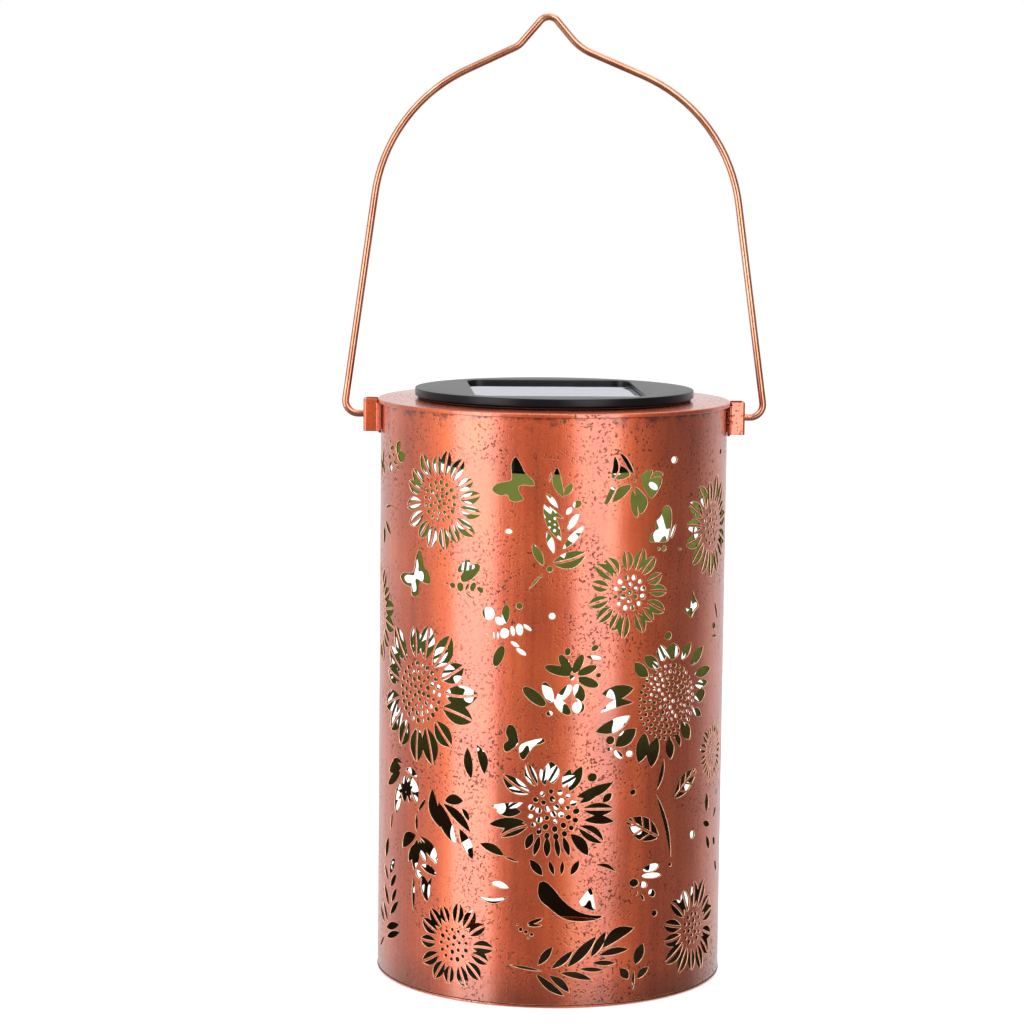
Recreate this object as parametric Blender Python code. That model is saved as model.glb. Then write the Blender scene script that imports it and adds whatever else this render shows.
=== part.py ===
"""Solar garden lantern: a pierced copper drum with a wire handle and a lift-out solar lid.

Sizes are in millimetres and are turned into metres as each mesh is made.
The drum stands on the XY plane with its axis on Z and its front towards -Y.
"""

import math

import bpy
import numpy as np
from mathutils import Vector
from mathutils.geometry import delaunay_2d_cdt

MM = 0.001
ROUND = 40  # sides of the drum and its plates
LID_ROUND = 36  # sides of the solar lid
GAP = 0.3  # clearance left between touching pieces

# Drum
SHELL_R = 54.0
SHEET = 0.5
SHELL_Z0, SHELL_Z1 = 0.9, 179.2
SEAM_U = 97.0  # the rolled sheet's joint, measured round the drum from the front line to the right
SEAM_GAP = 0.4  # open joint, closed from inside by the seam strip
HEIGHT = 180.1
LIP_IN, LIP_OUT = SHELL_R + GAP, SHELL_R + 0.9
PLATE = 0.6
RING_HOLE = 36.6
NOTCH_R = 40.2

# Ears and handle
EAR_Z0, EAR_Z1 = 169.8, 179.7
EAR_WEB_X, EAR_HALF, EAR_SHEET = 59.4, 4.0, 0.8
PIVOT_Z = 174.9
WIRE_R = 1.2
PEAK_H = 126.55  # sharp corner of the peak above the pivot

# Solar lid
CAP_R, CAP_Z0, CAP_Z1 = 43.4, 181.0, 183.5
NECK_R, NECK_IN, NECK_Z = 36.0, 34.4, 176.0
CAP_FLOOR = 178.3
CAP_YAW = 3.5
WINDOW = (52.0, 62.0, 5.0)  # width, length and corner radius of the sunk window
CUP_Z0, CUP_Z1, CUP_FLOOR = 160.0, 175.7, 161.6
SCREW_SPOTS = ((29.0, -5.0), (-29.0, -5.0), (20.0, 22.0), (-20.0, 22.0))
BATTERY_Y, BATTERY_Z, BATTERY_R = -15.1, 167.2, 5.15
DOOR = (-24.3, 24.3, -21.1, -9.7)

COPPER = ("antique_copper", (0.62, 0.27, 0.17, 1.0), 0.36, 0.9)
WIRE_COPPER = ("copper_wire", (0.66, 0.31, 0.20, 1.0), 0.33, 0.9)
BLACK = ("black_abs", (0.03, 0.032, 0.036, 1.0), 0.45, 0.0)
RUBBER = ("black_rubber", (0.012, 0.012, 0.013, 1.0), 0.75, 0.0)
CLEAR = ("clear_cover", (0.72, 0.74, 0.80, 1.0), 0.08, 0.0)
BOARD_BLUE = ("panel_board", (0.05, 0.07, 0.16, 1.0), 0.40, 0.0)
SILICON = ("silicon", (0.02, 0.03, 0.09, 1.0), 0.22, 0.3)
PAD = ("foam_pad", (0.80, 0.80, 0.78, 1.0), 0.85, 0.0)
SLEEVE = ("cell_sleeve", (0.10, 0.42, 0.24, 1.0), 0.35, 0.0)
NICKEL = ("nickel", (0.66, 0.65, 0.62, 1.0), 0.28, 1.0)
GREEN_BOARD = ("circuit_board", (0.04, 0.22, 0.10, 1.0), 0.45, 0.0)
FERRITE = ("ferrite", (0.07, 0.07, 0.075, 1.0), 0.55, 0.0)
LED_RESIN = ("led_resin", (0.93, 0.90, 0.72, 1.0), 0.12, 0.0)
RED_WIRE = ("red_wire", (0.55, 0.03, 0.03, 1.0), 0.45, 0.0)
BLACK_WIRE = ("black_wire", (0.03, 0.03, 0.03, 1.0), 0.45, 0.0)
STEEL = ("zinc_steel", (0.58, 0.58, 0.57, 1.0), 0.32, 1.0)

# ---------------------------------------------------------------- pattern
# Positions on the unrolled sheet: u runs round the drum from its front line, z is the height.

# u, z, seed disc radius, petal tip radius, petals, turn in degrees
SUNFLOWERS = (
    (-37.5, 152.5, 8.0, 15.3, 15, 8),
    (23.5, 124.5, 6.0, 13.2, 13, 0),
    (61.0, 141.5, 7.0, 15.2, 15, 5),
    (-44.5, 93.5, 10.4, 20.8, 17, 3),
    (1.0, 61.0, 8.6, 17.6, 16, 0),
    (38.5, 92.5, 12.0, 20.6, 16, 10),
    (-31.0, 18.0, 6.0, 13.4, 14, 4),
    (51.5, 20.0, 6.4, 14.2, 14, 0),
    (65.0, 73.0, 4.4, 9.2, 11, 0),
    (-78.0, 114.0, 8.0, 16.6, 15, 0),
    (-53.6, 63.0, 3.6, 8.4, 9, 12),
)
# u, z, inner radius, petal tip radius, petals, first direction and sweep in degrees
DAISIES = (
    (7.4, 102.4, 1.8, 7.2, 6, -28, 230),
    (0.2, 90.2, 1.4, 8.2, 5, 12, 156),
    (18.0, 77.2, 1.1, 4.6, 5, 20, 288),
)
# Leaves and slits: root u, root z, tip u, tip z, width, sideways bow
LEAVES = (
    (-2.2, 133.4, -6.2, 141.2, 2.6, 0.0),
    (0.2, 136.9, -1.9, 145.2, 2.3, 0.0),
    (2.6, 141.5, -3.2, 152.8, 3.4, 0.0),
    (3.6, 149.2, -1.4, 156.8, 2.3, 0.0),
    (3.2, 153.4, 0.4, 164.0, 3.2, 0.8),
    (4.2, 153.6, 6.0, 159.6, 2.4, 0.0),
    (5.0, 150.4, 8.8, 154.6, 2.2, 0.0),
    (4.3, 144.2, 8.3, 150.6, 2.2, 0.0),
    (2.8, 139.4, 9.6, 146.4, 2.2, 0.0),
    (0.3, 134.2, 9.9, 138.0, 5.2, 0.0),
    (-2.8, 132.0, -7.4, 127.2, 1.0, 0.0),
    (-65.4, 37.6, -64.2, 44.6, 2.8, 0.0),
    (-63.8, 34.0, -58.8, 39.6, 2.8, 0.0),
    (-62.4, 29.4, -57.4, 34.4, 2.0, 0.0),
    (-61.2, 25.2, -56.8, 30.2, 2.0, 0.0),
    (-62.2, 20.8, -55.8, 26.0, 2.0, 0.0),
    (-64.8, 16.9, -55.2, 20.2, 2.2, 0.0),
    (-65.4, 13.4, -55.0, 16.6, 2.0, 0.0),
    (-64.4, 31.0, -68.4, 35.2, 2.0, 0.0),
    (-63.6, 24.6, -67.6, 29.8, 2.2, 0.0),
    (-65.0, 20.2, -69.6, 24.2, 2.2, 0.0),
    (-68.0, 17.6, -75.0, 20.6, 2.2, 0.0),
    (-67.2, 12.9, -74.0, 8.6, 1.2, 0.0),
    (-3.4, 13.9, 1.4, 19.6, 2.6, 0.0),
    (0.8, 12.8, 7.6, 18.4, 2.2, 0.0),
    (5.8, 13.4, 13.8, 21.8, 2.6, 0.0),
    (12.2, 15.0, 17.4, 23.4, 2.0, 0.0),
    (17.6, 19.4, 28.4, 23.9, 3.0, 1.6),
    (15.6, 16.3, 25.4, 18.0, 2.2, 0.0),
    (13.6, 14.2, 21.2, 14.4, 1.6, 0.0),
    (9.4, 12.6, 17.2, 12.2, 1.5, 0.0),
    (4.0, 11.5, 13.6, 9.4, 1.7, 0.0),
    (0.4, 10.8, 7.0, 5.8, 1.5, 0.0),
    (-3.8, 11.0, 3.8, 4.6, 1.6, 0.0),
    (-11.8, 14.2, -4.4, 12.9, 1.1, 0.0),
    (27.4, 12.8, 30.6, 19.0, 3.0, 0.0),
    (25.6, 8.6, 22.0, 12.0, 2.0, 0.0),
    (28.2, 8.8, 32.4, 11.4, 2.0, 0.0),
    (26.7, 4.8, 27.0, 11.2, 1.0, 0.0),
    (24.3, 56.6, 35.8, 50.6, 7.0, 0.0),
    (37.4, 70.6, 35.6, 65.0, 1.6, 0.0),
    (35.6, 63.6, 41.0, 41.5, 1.8, 1.2),
    (41.6, 61.4, 53.2, 68.4, 5.2, 0.0),
    (-38.8, 64.0, -35.9, 53.0, 3.0, -1.0),
    (-36.0, 60.4, -29.9, 49.6, 3.6, 0.0),
    (-34.6, 59.8, -24.9, 52.8, 2.6, 0.0),
    (-34.0, 62.0, -28.2, 62.6, 2.4, 0.0),
    (-28.2, 51.4, -23.8, 44.8, 3.6, 0.0),
    (-42.2, 60.4, -45.0, 56.6, 1.1, 0.0),
    (-46.4, 55.4, -46.2, 50.8, 1.3, 0.0),
    (-46.9, 48.6, -51.0, 40.6, 4.4, -1.0),
    (-45.4, 46.8, -40.6, 29.6, 7.4, 0.0),
    (-43.8, 48.8, -36.4, 42.8, 2.8, 1.0),
    (-47.6, 36.4, -47.4, 25.2, 1.5, 0.0),
    (-21.8, 49.8, -9.6, 44.6, 2.2, 0.0),
    (-21.8, 36.6, -12.2, 33.0, 3.2, 0.0),
    (-3.0, 37.6, 16.8, 28.8, 4.6, -3.2),
    (12.4, 38.4, 14.2, 31.4, 3.4, 0.0),
    (60.4, 53.4, 60.0, 60.4, 2.8, 0.0),
    (58.0, 51.2, 62.8, 49.6, 1.8, 0.0),
    (60.2, 46.4, 63.2, 42.4, 2.2, 0.0),
    (65.6, 44.8, 69.6, 42.8, 2.2, 0.0),
    (68.4, 37.4, 71.6, 34.0, 2.0, 0.0),
    (64.8, 50.8, 69.4, 53.8, 1.6, 0.0),
    (-73.0, 40.4, -79.0, 36.0, 3.6, 0.0),
    (-72.6, 32.2, -80.0, 28.8, 2.6, 0.0),
    (-74.0, 87.0, -84.0, 82.6, 4.4, 0.0),
    (-71.8, 69.4, -84.0, 63.8, 4.6, 0.0),
    (-71.0, 136.6, -65.2, 134.2, 2.2, 0.0),
)
# Butterflies and bees: u, z, size, turn in degrees
BUTTERFLIES = (
    (-12.0, 160.0, 12.5, 38),
    (25.6, 157.6, 18.5, -22),
    (36.4, 144.6, 11.0, 35),
    (-48.2, 128.6, 14.5, -48),
    (-9.0, 80.8, 11.0, 12),
    (50.0, 119.4, 8.5, 25),
    (67.4, 116.4, 7.5, -30),
    (-75.0, 145.0, 13.0, 20),
)
BEES = (
    (-27.2, 127.4, 12.0, -8),
    (-13.0, 114.6, 15.5, 14),
    (31.6, 37.6, 12.0, -42),
    (-6.0, 25.4, 8.0, -20),
    (-63.0, 163.0, 11.5, 15),
    (65.4, 106.4, 8.5, 10),
)
# u, z, radius
DOTS = (
    (40.5, 164.8, 1.4),
    (71.0, 164.8, 1.4),
    (-13.5, 144.3, 1.2),
    (0.1, 119.3, 1.2),
    (34.5, 27.6, 1.4),
    (26.0, 65.5, 1.2),
    (51.2, 48.9, 1.4),
    (-72.5, 155.0, 1.4),
)
# Outlines of a unit butterfly (wing span 1, head towards +z): upper and lower right wing
WING_UPPER = ((0.05, 0.02), (0.46, 0.22), (0.48, 0.46), (0.06, 0.20))
WING_LOWER = ((0.05, -0.04), (0.12, -0.42), (0.30, -0.38), (0.36, -0.12))
# A unit bee (length 1 along +u): body rings and wings
BEE_PARTS = (
    ((-0.42, -0.08), (-0.10, -0.15), (-0.10, 0.10), (-0.42, 0.06)),
    ((-0.02, -0.15), (0.50, 0.00), (-0.02, 0.11)),
    ((-0.12, 0.17), (0.00, 0.50), (-0.26, 0.50)),
    ((0.04, 0.18), (0.34, 0.42), (0.14, 0.54)),
)


def turned(points, u, z, size, degrees):
    """Points of a unit shape, scaled, turned about its centre and moved to (u, z)."""
    c, s = math.cos(math.radians(degrees)), math.sin(math.radians(degrees))
    p = np.asarray(points, float) * size
    return np.column_stack([u + c * p[:, 0] - s * p[:, 1], z + s * p[:, 0] + c * p[:, 1]])


def blade(root, tip, width, bow=0.0, belly=0.55):
    """A leaf or petal: root, two flanks and tip, its middle bowed to the left by bow."""
    root, tip = np.asarray(root, float), np.asarray(tip, float)
    along = tip - root
    side = np.array([-along[1], along[0]]) / np.linalg.norm(along)
    middle = root + belly * along + bow * side
    return np.array([root, middle - side * width / 2, tip, middle + side * width / 2])


def petals(u, z, inner, outer, count, first, sweep=360.0, fill=0.8):
    """Kite-shaped petals pointing out from (u, z) between two radii; sweep < 360 makes a fan."""
    step = sweep / (count if sweep == 360.0 else count - 1)
    width = fill * (inner + 0.55 * (outer - inner)) * math.radians(step)
    shapes = []
    for i in range(count):
        a = math.radians(first + i * step)
        d = np.array([math.cos(a), math.sin(a)])
        reach = outer - (0.9 if i % 3 == 1 else 0.0)
        shapes.append(blade((u, z) + inner * d, (u, z) + reach * d, width))
    return shapes


def regular(u, z, radius, sides, turn=0.0):
    """A regular polygon round (u, z)."""
    a = turn + 2 * math.pi * np.arange(sides) / sides
    return np.column_stack([u + radius * np.cos(a), z + radius * np.sin(a)])


def motif_holes():
    """All cut-outs as counter-clockwise polygons on the unrolled sheet, each with its (u, z) and reach."""
    found = []
    for u, z, disc, tip, count, turn in SUNFLOWERS:
        shapes = petals(u, z, disc + 0.7, tip, round(0.72 * count), turn)
        seeds = 5 if disc > 8.2 else 0
        for i in range(seeds):
            a = 2 * math.pi * i / seeds + 0.4
            r = disc * 0.52
            shapes.append(regular(u + r * math.cos(a), z + r * math.sin(a), disc * 0.17, 4, a))
        found.append((u, tip, shapes))
    for u, z, inner, tip, count, first, sweep in DAISIES:
        found.append((u, tip, petals(u, z, inner, tip, count, first, sweep, 0.76)))
    for u0, z0, u1, z1, width, bow in LEAVES:
        found.append(((u0 + u1) / 2, abs(u1 - u0) / 2 + 1, [blade((u0, z0), (u1, z1), width, bow)]))
    for u, z, size, turn in BUTTERFLIES:
        shapes = []
        for wing in (WING_UPPER, WING_LOWER):
            shapes.append(turned(wing, u, z, size, turn))
            shapes.append(turned([(-a, b) for a, b in wing], u, z, size, turn))
        found.append((u, size / 2, shapes))
    for u, z, size, turn in BEES:
        found.append((u, size / 2, [turned(part, u, z, size, turn) for part in BEE_PARTS]))
    for u, z, radius in DOTS:
        found.append((u, radius, [regular(u, z, radius, 5)]))
    return found


def sheet_holes():
    """The front's motifs, and the larger ones again half a turn round, clear of the sheet's joint."""
    half_turn = math.pi * SHELL_R
    margin = 7.0
    holes = []
    for u, reach, shapes in motif_holes():
        holes += shapes
        for shift in (-half_turn, half_turn):
            low, high = u + shift - reach, u + shift + reach
            if reach > 3.5 and low > SEAM_U - 2 * half_turn + margin and high < SEAM_U - margin:
                holes += [shape + (shift, 0.0) for shape in shapes]
    return [h if signed_area(h) > 0 else h[::-1] for h in holes]


def signed_area(loop):
    x, y = loop[:, 0], loop[:, 1]
    return 0.5 * float(np.sum(x * np.roll(y, -1) - y * np.roll(x, -1)))


# ---------------------------------------------------------------- mesh tools
def clear_scene():
    for obj in list(bpy.data.objects):
        bpy.data.objects.remove(obj, do_unlink=True)


def material(look):
    """The Principled material of that name, made once."""
    name, colour, roughness, metallic = look
    found = bpy.data.materials.get(name)
    if found:
        return found
    made = bpy.data.materials.new(name)
    made.use_nodes = True
    shader = made.node_tree.nodes["Principled BSDF"]
    shader.inputs["Base Color"].default_value = colour
    shader.inputs["Roughness"].default_value = roughness
    shader.inputs["Metallic"].default_value = metallic
    made.diffuse_color = colour
    return made


def add_object(name, points, faces, look, origin=(0, 0, 0), smooth=30):
    """Links a mesh given in mm, with its origin at the point origin (mm)."""
    mesh = bpy.data.meshes.new(name)
    local = (np.asarray(points, float) - np.asarray(origin, float)) * MM
    mesh.from_pydata(local.tolist(), [], [[int(i) for i in face] for face in faces])
    mesh.update()
    mesh.shade_smooth()
    mesh.set_sharp_from_angle(angle=math.radians(smooth))
    mesh.materials.append(material(look))
    obj = bpy.data.objects.new(name, mesh)
    obj.location = Vector(origin) * MM
    bpy.context.scene.collection.objects.link(obj)
    return obj


def lathe_mesh(profile, sides=ROUND, start=0.0):
    """Turns a counter-clockwise (r, z) loop round Z; points with r = 0 meet on the axis."""
    angles = start + 2 * math.pi * np.arange(sides) / sides
    points, rings = [], []
    for r, z in profile:
        if r == 0:
            rings.append([len(points)] * sides)
            points.append((0.0, 0.0, z))
        else:
            rings.append(list(range(len(points), len(points) + sides)))
            points += [(r * math.cos(a), r * math.sin(a), z) for a in angles]
    faces = []
    for lower, upper in zip(rings, rings[1:] + rings[:1]):
        for i in range(sides):
            j = (i + 1) % sides
            face = [lower[i], lower[j], upper[j], upper[i]]
            face = [v for k, v in enumerate(face) if v not in face[:k]]
            if len(face) > 2:
                faces.append(face)
    return points, faces


def prism_mesh(outline, low, high):
    """Extrudes a counter-clockwise XY outline from z = low to z = high."""
    n = len(outline)
    points = [(x, y, low) for x, y in outline] + [(x, y, high) for x, y in outline]
    faces = [list(range(n))[::-1], list(range(n, 2 * n))]
    faces += [[i, (i + 1) % n, n + (i + 1) % n, n + i] for i in range(n)]
    return points, faces


def box_mesh(x0, x1, y0, y1, z0, z1):
    return prism_mesh([(x0, y0), (x1, y0), (x1, y1), (x0, y1)], z0, z1)


def rod_mesh(x, y, radius, z0, z1, sides=12):
    """A round bar along Z at (x, y)."""
    a = 2 * math.pi * np.arange(sides) / sides
    return prism_mesh([(x + radius * math.cos(t), y + radius * math.sin(t)) for t in a], z0, z1)


def rounded_rectangle(width, length, radius, steps=4):
    """Outline with rounded corners, counter-clockwise, centred on the origin."""
    outline = []
    for quarter, (sx, sy) in enumerate(((1, 1), (-1, 1), (-1, -1), (1, -1))):
        for i in range(steps + 1):
            a = math.pi / 2 * (quarter + i / steps)
            outline.append((
                sx * (width / 2 - radius) + radius * math.cos(a),
                sy * (length / 2 - radius) + radius * math.sin(a),
            ))
    return outline


def sweep_mesh(path, radii, sides=6):
    """A round bar along a path, its section carried along without twisting; ends are capped."""
    path = np.asarray(path, float)
    radii = np.broadcast_to(np.asarray(radii, float), (len(path),))
    steps = np.diff(path, axis=0)
    steps /= np.linalg.norm(steps, axis=1, keepdims=True)
    ahead = np.vstack([steps[:1], steps[:-1] + steps[1:], steps[-1:]])
    ahead /= np.linalg.norm(ahead, axis=1, keepdims=True)
    side = np.cross(ahead[0], (0.0, 1.0, 0.0))
    if np.linalg.norm(side) < 0.2:
        side = np.cross(ahead[0], (1.0, 0.0, 0.0))
    points = []
    for centre, forward, radius in zip(path, ahead, radii):
        side = side - forward * np.dot(side, forward)
        side /= np.linalg.norm(side)
        other = np.cross(forward, side)
        for k in range(sides):
            a = 2 * math.pi * k / sides
            points.append(centre + radius * (math.cos(a) * side + math.sin(a) * other))
    faces = [list(range(sides))[::-1], list(range(len(points) - sides, len(points)))]
    for i in range(len(path) - 1):
        for k in range(sides):
            a, b = i * sides + k, i * sides + (k + 1) % sides
            faces.append([a, b, b + sides, a + sides])
    return points, faces


def filleted(corners, radii, steps=5):
    """A polyline whose inner corners are rounded to the given radii; each corner is (x, y, z)."""
    corners = [np.asarray(c, float) for c in corners]
    path = [corners[0]]
    for before, corner, after, radius in zip(corners, corners[1:], corners[2:], radii):
        a, b = before - corner, after - corner
        a, b = a / np.linalg.norm(a), b / np.linalg.norm(b)
        half = math.acos(max(-1.0, min(1.0, float(np.dot(a, b))))) / 2
        bisector = (a + b) / np.linalg.norm(a + b)
        centre = corner + bisector * radius / math.sin(half)
        start, end = corner + a * radius / math.tan(half), corner + b * radius / math.tan(half)
        for i in range(steps + 1):
            ray = (start - centre) * (1 - i / steps) + (end - centre) * (i / steps)
            path.append(centre + ray * radius / np.linalg.norm(ray))
    path.append(corners[-1])
    return path


def modify(target, operation, name, mesh):
    """Adds to or cuts from target with an exact Boolean against a hidden helper."""
    helper = add_object(name, *mesh, BLACK)
    helper.hide_render = True
    helper.display_type = "WIRE"
    step = target.modifiers.new(name, "BOOLEAN")
    step.operation = operation
    step.solver = "EXACT"
    step.object = helper


def turn_points(mesh, degrees):
    """The mesh turned about Z."""
    points, faces = mesh
    c, s = math.cos(math.radians(degrees)), math.sin(math.radians(degrees))
    return [(c * x - s * y, s * x + c * y, z) for x, y, z in points], faces


# ---------------------------------------------------------------- drum
def shell_sheet():
    """Triangles of the pierced sheet on its (u, z) plane, cut-outs left open."""
    right = SEAM_U - SEAM_GAP / 2
    left = SEAM_U - 2 * math.pi * SHELL_R + SEAM_GAP / 2
    columns = np.linspace(left, right, ROUND + 1)
    holes = sheet_holes()
    points = [(u, z) for z in (SHELL_Z0, SHELL_Z1) for u in columns]
    points += [(u, z) for u in (left, right) for z in np.linspace(SHELL_Z0, SHELL_Z1, 13)[1:-1]]
    corners = np.vstack(holes)
    for row, z in enumerate(np.linspace(SHELL_Z0, SHELL_Z1, 15)[1:-1]):
        between = columns[:-1] + 0.5 * (columns[1] - columns[0])
        for u in between if row % 2 else columns[1:-1]:
            if np.hypot(corners[:, 0] - u, corners[:, 1] - z).min() > 5.0:
                points.append((u, z))
    faces = []
    for hole in holes:
        faces.append(list(range(len(points), len(points) + len(hole))))
        points += [tuple(p) for p in hole]
    flat = [Vector(p) for p in points]
    made = delaunay_2d_cdt(flat, [], faces, 0, 1e-6)
    kept = [face for face, source in zip(made[2], made[5]) if not source]
    return np.array([tuple(p) for p in made[0]]), np.array(kept)


def wrap(sheet, radius):
    """Rolls (u, z) points round the axis; u keeps its angle at the drum's outer radius."""
    angle = sheet[:, 0] / SHELL_R
    return np.column_stack([radius * np.sin(angle), -radius * np.cos(angle), sheet[:, 1]])


def build_shell():
    sheet, triangles = shell_sheet()
    used = np.unique(triangles)
    index = np.full(len(sheet), -1)
    index[used] = np.arange(len(used))
    sheet, triangles = sheet[used], index[triangles]
    count = len(sheet)
    points = np.vstack([wrap(sheet, SHELL_R), wrap(sheet, SHELL_R - SHEET)])
    edges = np.vstack([triangles[:, [0, 1]], triangles[:, [1, 2]], triangles[:, [2, 0]]])
    both = {(int(a), int(b)) for a, b in edges}
    walls = [[b, a, a + count, b + count] for a, b in both if (b, a) not in both]
    walls.sort()
    faces = triangles.tolist() + (triangles[:, ::-1] + count).tolist() + walls
    add_object("pierced_shell", points, faces, COPPER)


def build_drum():
    build_shell()
    middle = math.degrees(SEAM_U / SHELL_R) - 90
    a = np.radians(np.linspace(middle - 6.5, middle + 6.5, 5))
    outer, inner = SHELL_R - SHEET - 0.5, SHELL_R - SHEET - 1.0
    outline = [(outer * math.cos(t), outer * math.sin(t)) for t in a]
    outline += [(inner * math.cos(t), inner * math.sin(t)) for t in a[::-1]]
    add_object("seam_strip", *prism_mesh(outline, 3.0, 177.5), COPPER)

    top = HEIGHT - PLATE
    ring = [(RING_HOLE, top), (LIP_IN, top), (LIP_IN, top - 0.7), (LIP_OUT, top - 0.7),
            (LIP_OUT, HEIGHT - 0.3), (LIP_OUT - 0.3, HEIGHT), (RING_HOLE, HEIGHT)]
    lid = add_object("top_ring", *lathe_mesh(ring), COPPER)
    for i in range(3):
        notch = turn_points(box_mesh(RING_HOLE - 3, NOTCH_R, -4.8, 4.8, top - 3, HEIGHT + 3), 90 + 120 * i)
        modify(lid, "DIFFERENCE", f"cut_notch_{i}", notch)

    flange_out, flange_in, flange_z = SHELL_R - SHEET - 0.6, SHELL_R - SHEET - 1.2, 2.4
    base = [(0, 0), (SHELL_R - 0.4, 0), (SHELL_R - 0.1, 0.3), (SHELL_R - 0.1, PLATE), (flange_out, PLATE),
            (flange_out, flange_z), (flange_in, flange_z), (flange_in, PLATE), (0, PLATE)]
    plate = add_object("base_plate", *lathe_mesh(base), COPPER)
    for i in range(4):
        a = math.radians(45 + 90 * i)
        drain = rod_mesh(38 * math.cos(a), 38 * math.sin(a), 2.5, -2, 3, 10)
        modify(plate, "DIFFERENCE", f"cut_drain_{i}", drain)


def build_ear(name, side):
    """A folded bracket: two flanges on the drum, two legs and an outer web with the wire's hole."""
    def on(radius, y):
        return math.sqrt(radius * radius - y * y), y

    inside = EAR_HALF - EAR_SHEET
    web = EAR_WEB_X - EAR_SHEET
    near, far = LIP_IN, LIP_IN + EAR_SHEET
    outline = [
        on(far, -9.0), on(far, -EAR_HALF), (EAR_WEB_X, -EAR_HALF), (EAR_WEB_X, EAR_HALF),
        on(far, EAR_HALF), on(far, 9.0), on(near, 9.0), on(near, inside), (web, inside),
        (web, -inside), on(near, -inside), on(near, -9.0),
    ]
    if side < 0:
        outline = [(-x, -y) for x, y in outline]
    ear = add_object(name, *prism_mesh(outline, EAR_Z0, EAR_Z1), COPPER, smooth=20)
    points, faces = rod_mesh(0, 0, WIRE_R + 0.4, EAR_WEB_X - 3, EAR_WEB_X + 3)
    hole = ([(side * z, y * side, x + PIVOT_Z) for x, y, z in points], [f[::-1] for f in faces])
    modify(ear, "DIFFERENCE", f"cut_{name}", hole)
    relief = [(50.0, 178.4), (55.2, 178.4), (55.2, 182.0), (50.0, 182.0)]
    modify(ear, "DIFFERENCE", f"cut_{name}_lip", lathe_mesh(relief))


def build_bail():
    """The wire handle: headed ends in the ears, straight legs, round shoulders and a pointed peak."""
    half = [(57.2, 0, 0), (66.1, 0, 0), (52.7, 0, 95.3), (10.7, 0, 114.75), (0, 0, PEAK_H)]
    corners = [(x, y, PIVOT_Z + h) for x, y, h in half]
    corners += [(-x, y, z) for x, y, z in corners[-2::-1]]
    path = filleted(corners, [4.0, 50.0, 9.0, 3.6, 9.0, 50.0, 4.0])
    start, end = path[0], path[-1]
    ends = [(55.6, 1.8), (56.6, 1.8), (56.8, WIRE_R)]
    head = [np.array([x, 0.0, PIVOT_Z]) for x, _ in ends]
    tail = [np.array([-x, 0.0, PIVOT_Z]) for x, _ in ends[::-1]]
    radii = [r for _, r in ends] + [WIRE_R] * len(path) + [r for _, r in ends[::-1]]
    assert start[0] > ends[-1][0] and end[0] < -ends[-1][0]
    points, faces = sweep_mesh(head + path + tail, radii)
    add_object("bail_handle", points, faces, WIRE_COPPER, origin=(0, 0, PIVOT_Z), smooth=50)


# ---------------------------------------------------------------- solar lid
def build_cap():
    bevel = 0.6
    seal = [(37.2, 180.35), (42.6, 180.35), (42.6, 180.75), (37.2, 180.75)]
    add_object("seal_ring", *lathe_mesh(seal, LID_ROUND), RUBBER, origin=(0, 0, 180.35))

    profile = [(0, CAP_FLOOR), (NECK_IN, CAP_FLOOR), (NECK_IN, NECK_Z), (NECK_R, NECK_Z), (NECK_R, CAP_Z0),
               (CAP_R - bevel, CAP_Z0), (CAP_R, CAP_Z0 + bevel), (CAP_R, CAP_Z1 - bevel),
               (CAP_R - bevel, CAP_Z1), (0, CAP_Z1)]
    cap = add_object("cap_housing", *lathe_mesh(profile, LID_ROUND), BLACK, origin=(0, 0, CAP_Z0))
    for i in range(3):
        tab = turn_points(box_mesh(NECK_R - 0.8, 39.4, -3.2, 3.2, 177.7, 179.2), 90 + 120 * i)
        modify(cap, "UNION", f"add_tab_{i}", tab)
    for i, (x, y) in enumerate(SCREW_SPOTS):
        modify(cap, "UNION", f"add_boss_{i}", rod_mesh(x, y, 2.4, 167.0, CAP_FLOOR + 0.5, 8))
        modify(cap, "DIFFERENCE", f"cut_pilot_{i}", rod_mesh(x, y, 1.3, 166.0, 175.6, 6))
    shallow = prism_mesh(rounded_rectangle(*WINDOW), 181.5, 185.0)
    deep = prism_mesh(rounded_rectangle(44.0, 52.0, 3.0, 2), 179.5, 182.5)
    modify(cap, "DIFFERENCE", "cut_window", turn_points(shallow, CAP_YAW))
    modify(cap, "DIFFERENCE", "cut_panel_pocket", turn_points(deep, CAP_YAW))
    modify(cap, "DIFFERENCE", "cut_lead_hole", rod_mesh(0, 0, 4.0, 170.0, 181.0, 10))

    cover = rounded_rectangle(WINDOW[0] - 0.6, WINDOW[1] - 0.6, WINDOW[2] - 0.3)
    add_object("panel_cover", *turn_points(prism_mesh(cover, 181.7, 182.4), CAP_YAW), CLEAR)
    board = prism_mesh(rounded_rectangle(43.2, 51.2, 2.8, 2), 180.1, 181.0)
    add_object("solar_panel", *turn_points(board, CAP_YAW), BOARD_BLUE)
    for i in range(4):
        y = -24.6 + 12.4 * i
        cell = box_mesh(-20.6, 20.6, y, y + 11.9, 181.2, 181.4)
        add_object(f"solar_cell_{i + 1}", *turn_points(cell, CAP_YAW), SILICON)
    for name, y in (("adhesive_front", -24.0), ("adhesive_rear", 6.0)):
        pad = box_mesh(-20.0, 20.0, y, y + 18.0, 179.65, 179.95)
        add_object(name, *turn_points(pad, CAP_YAW), PAD)


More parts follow.
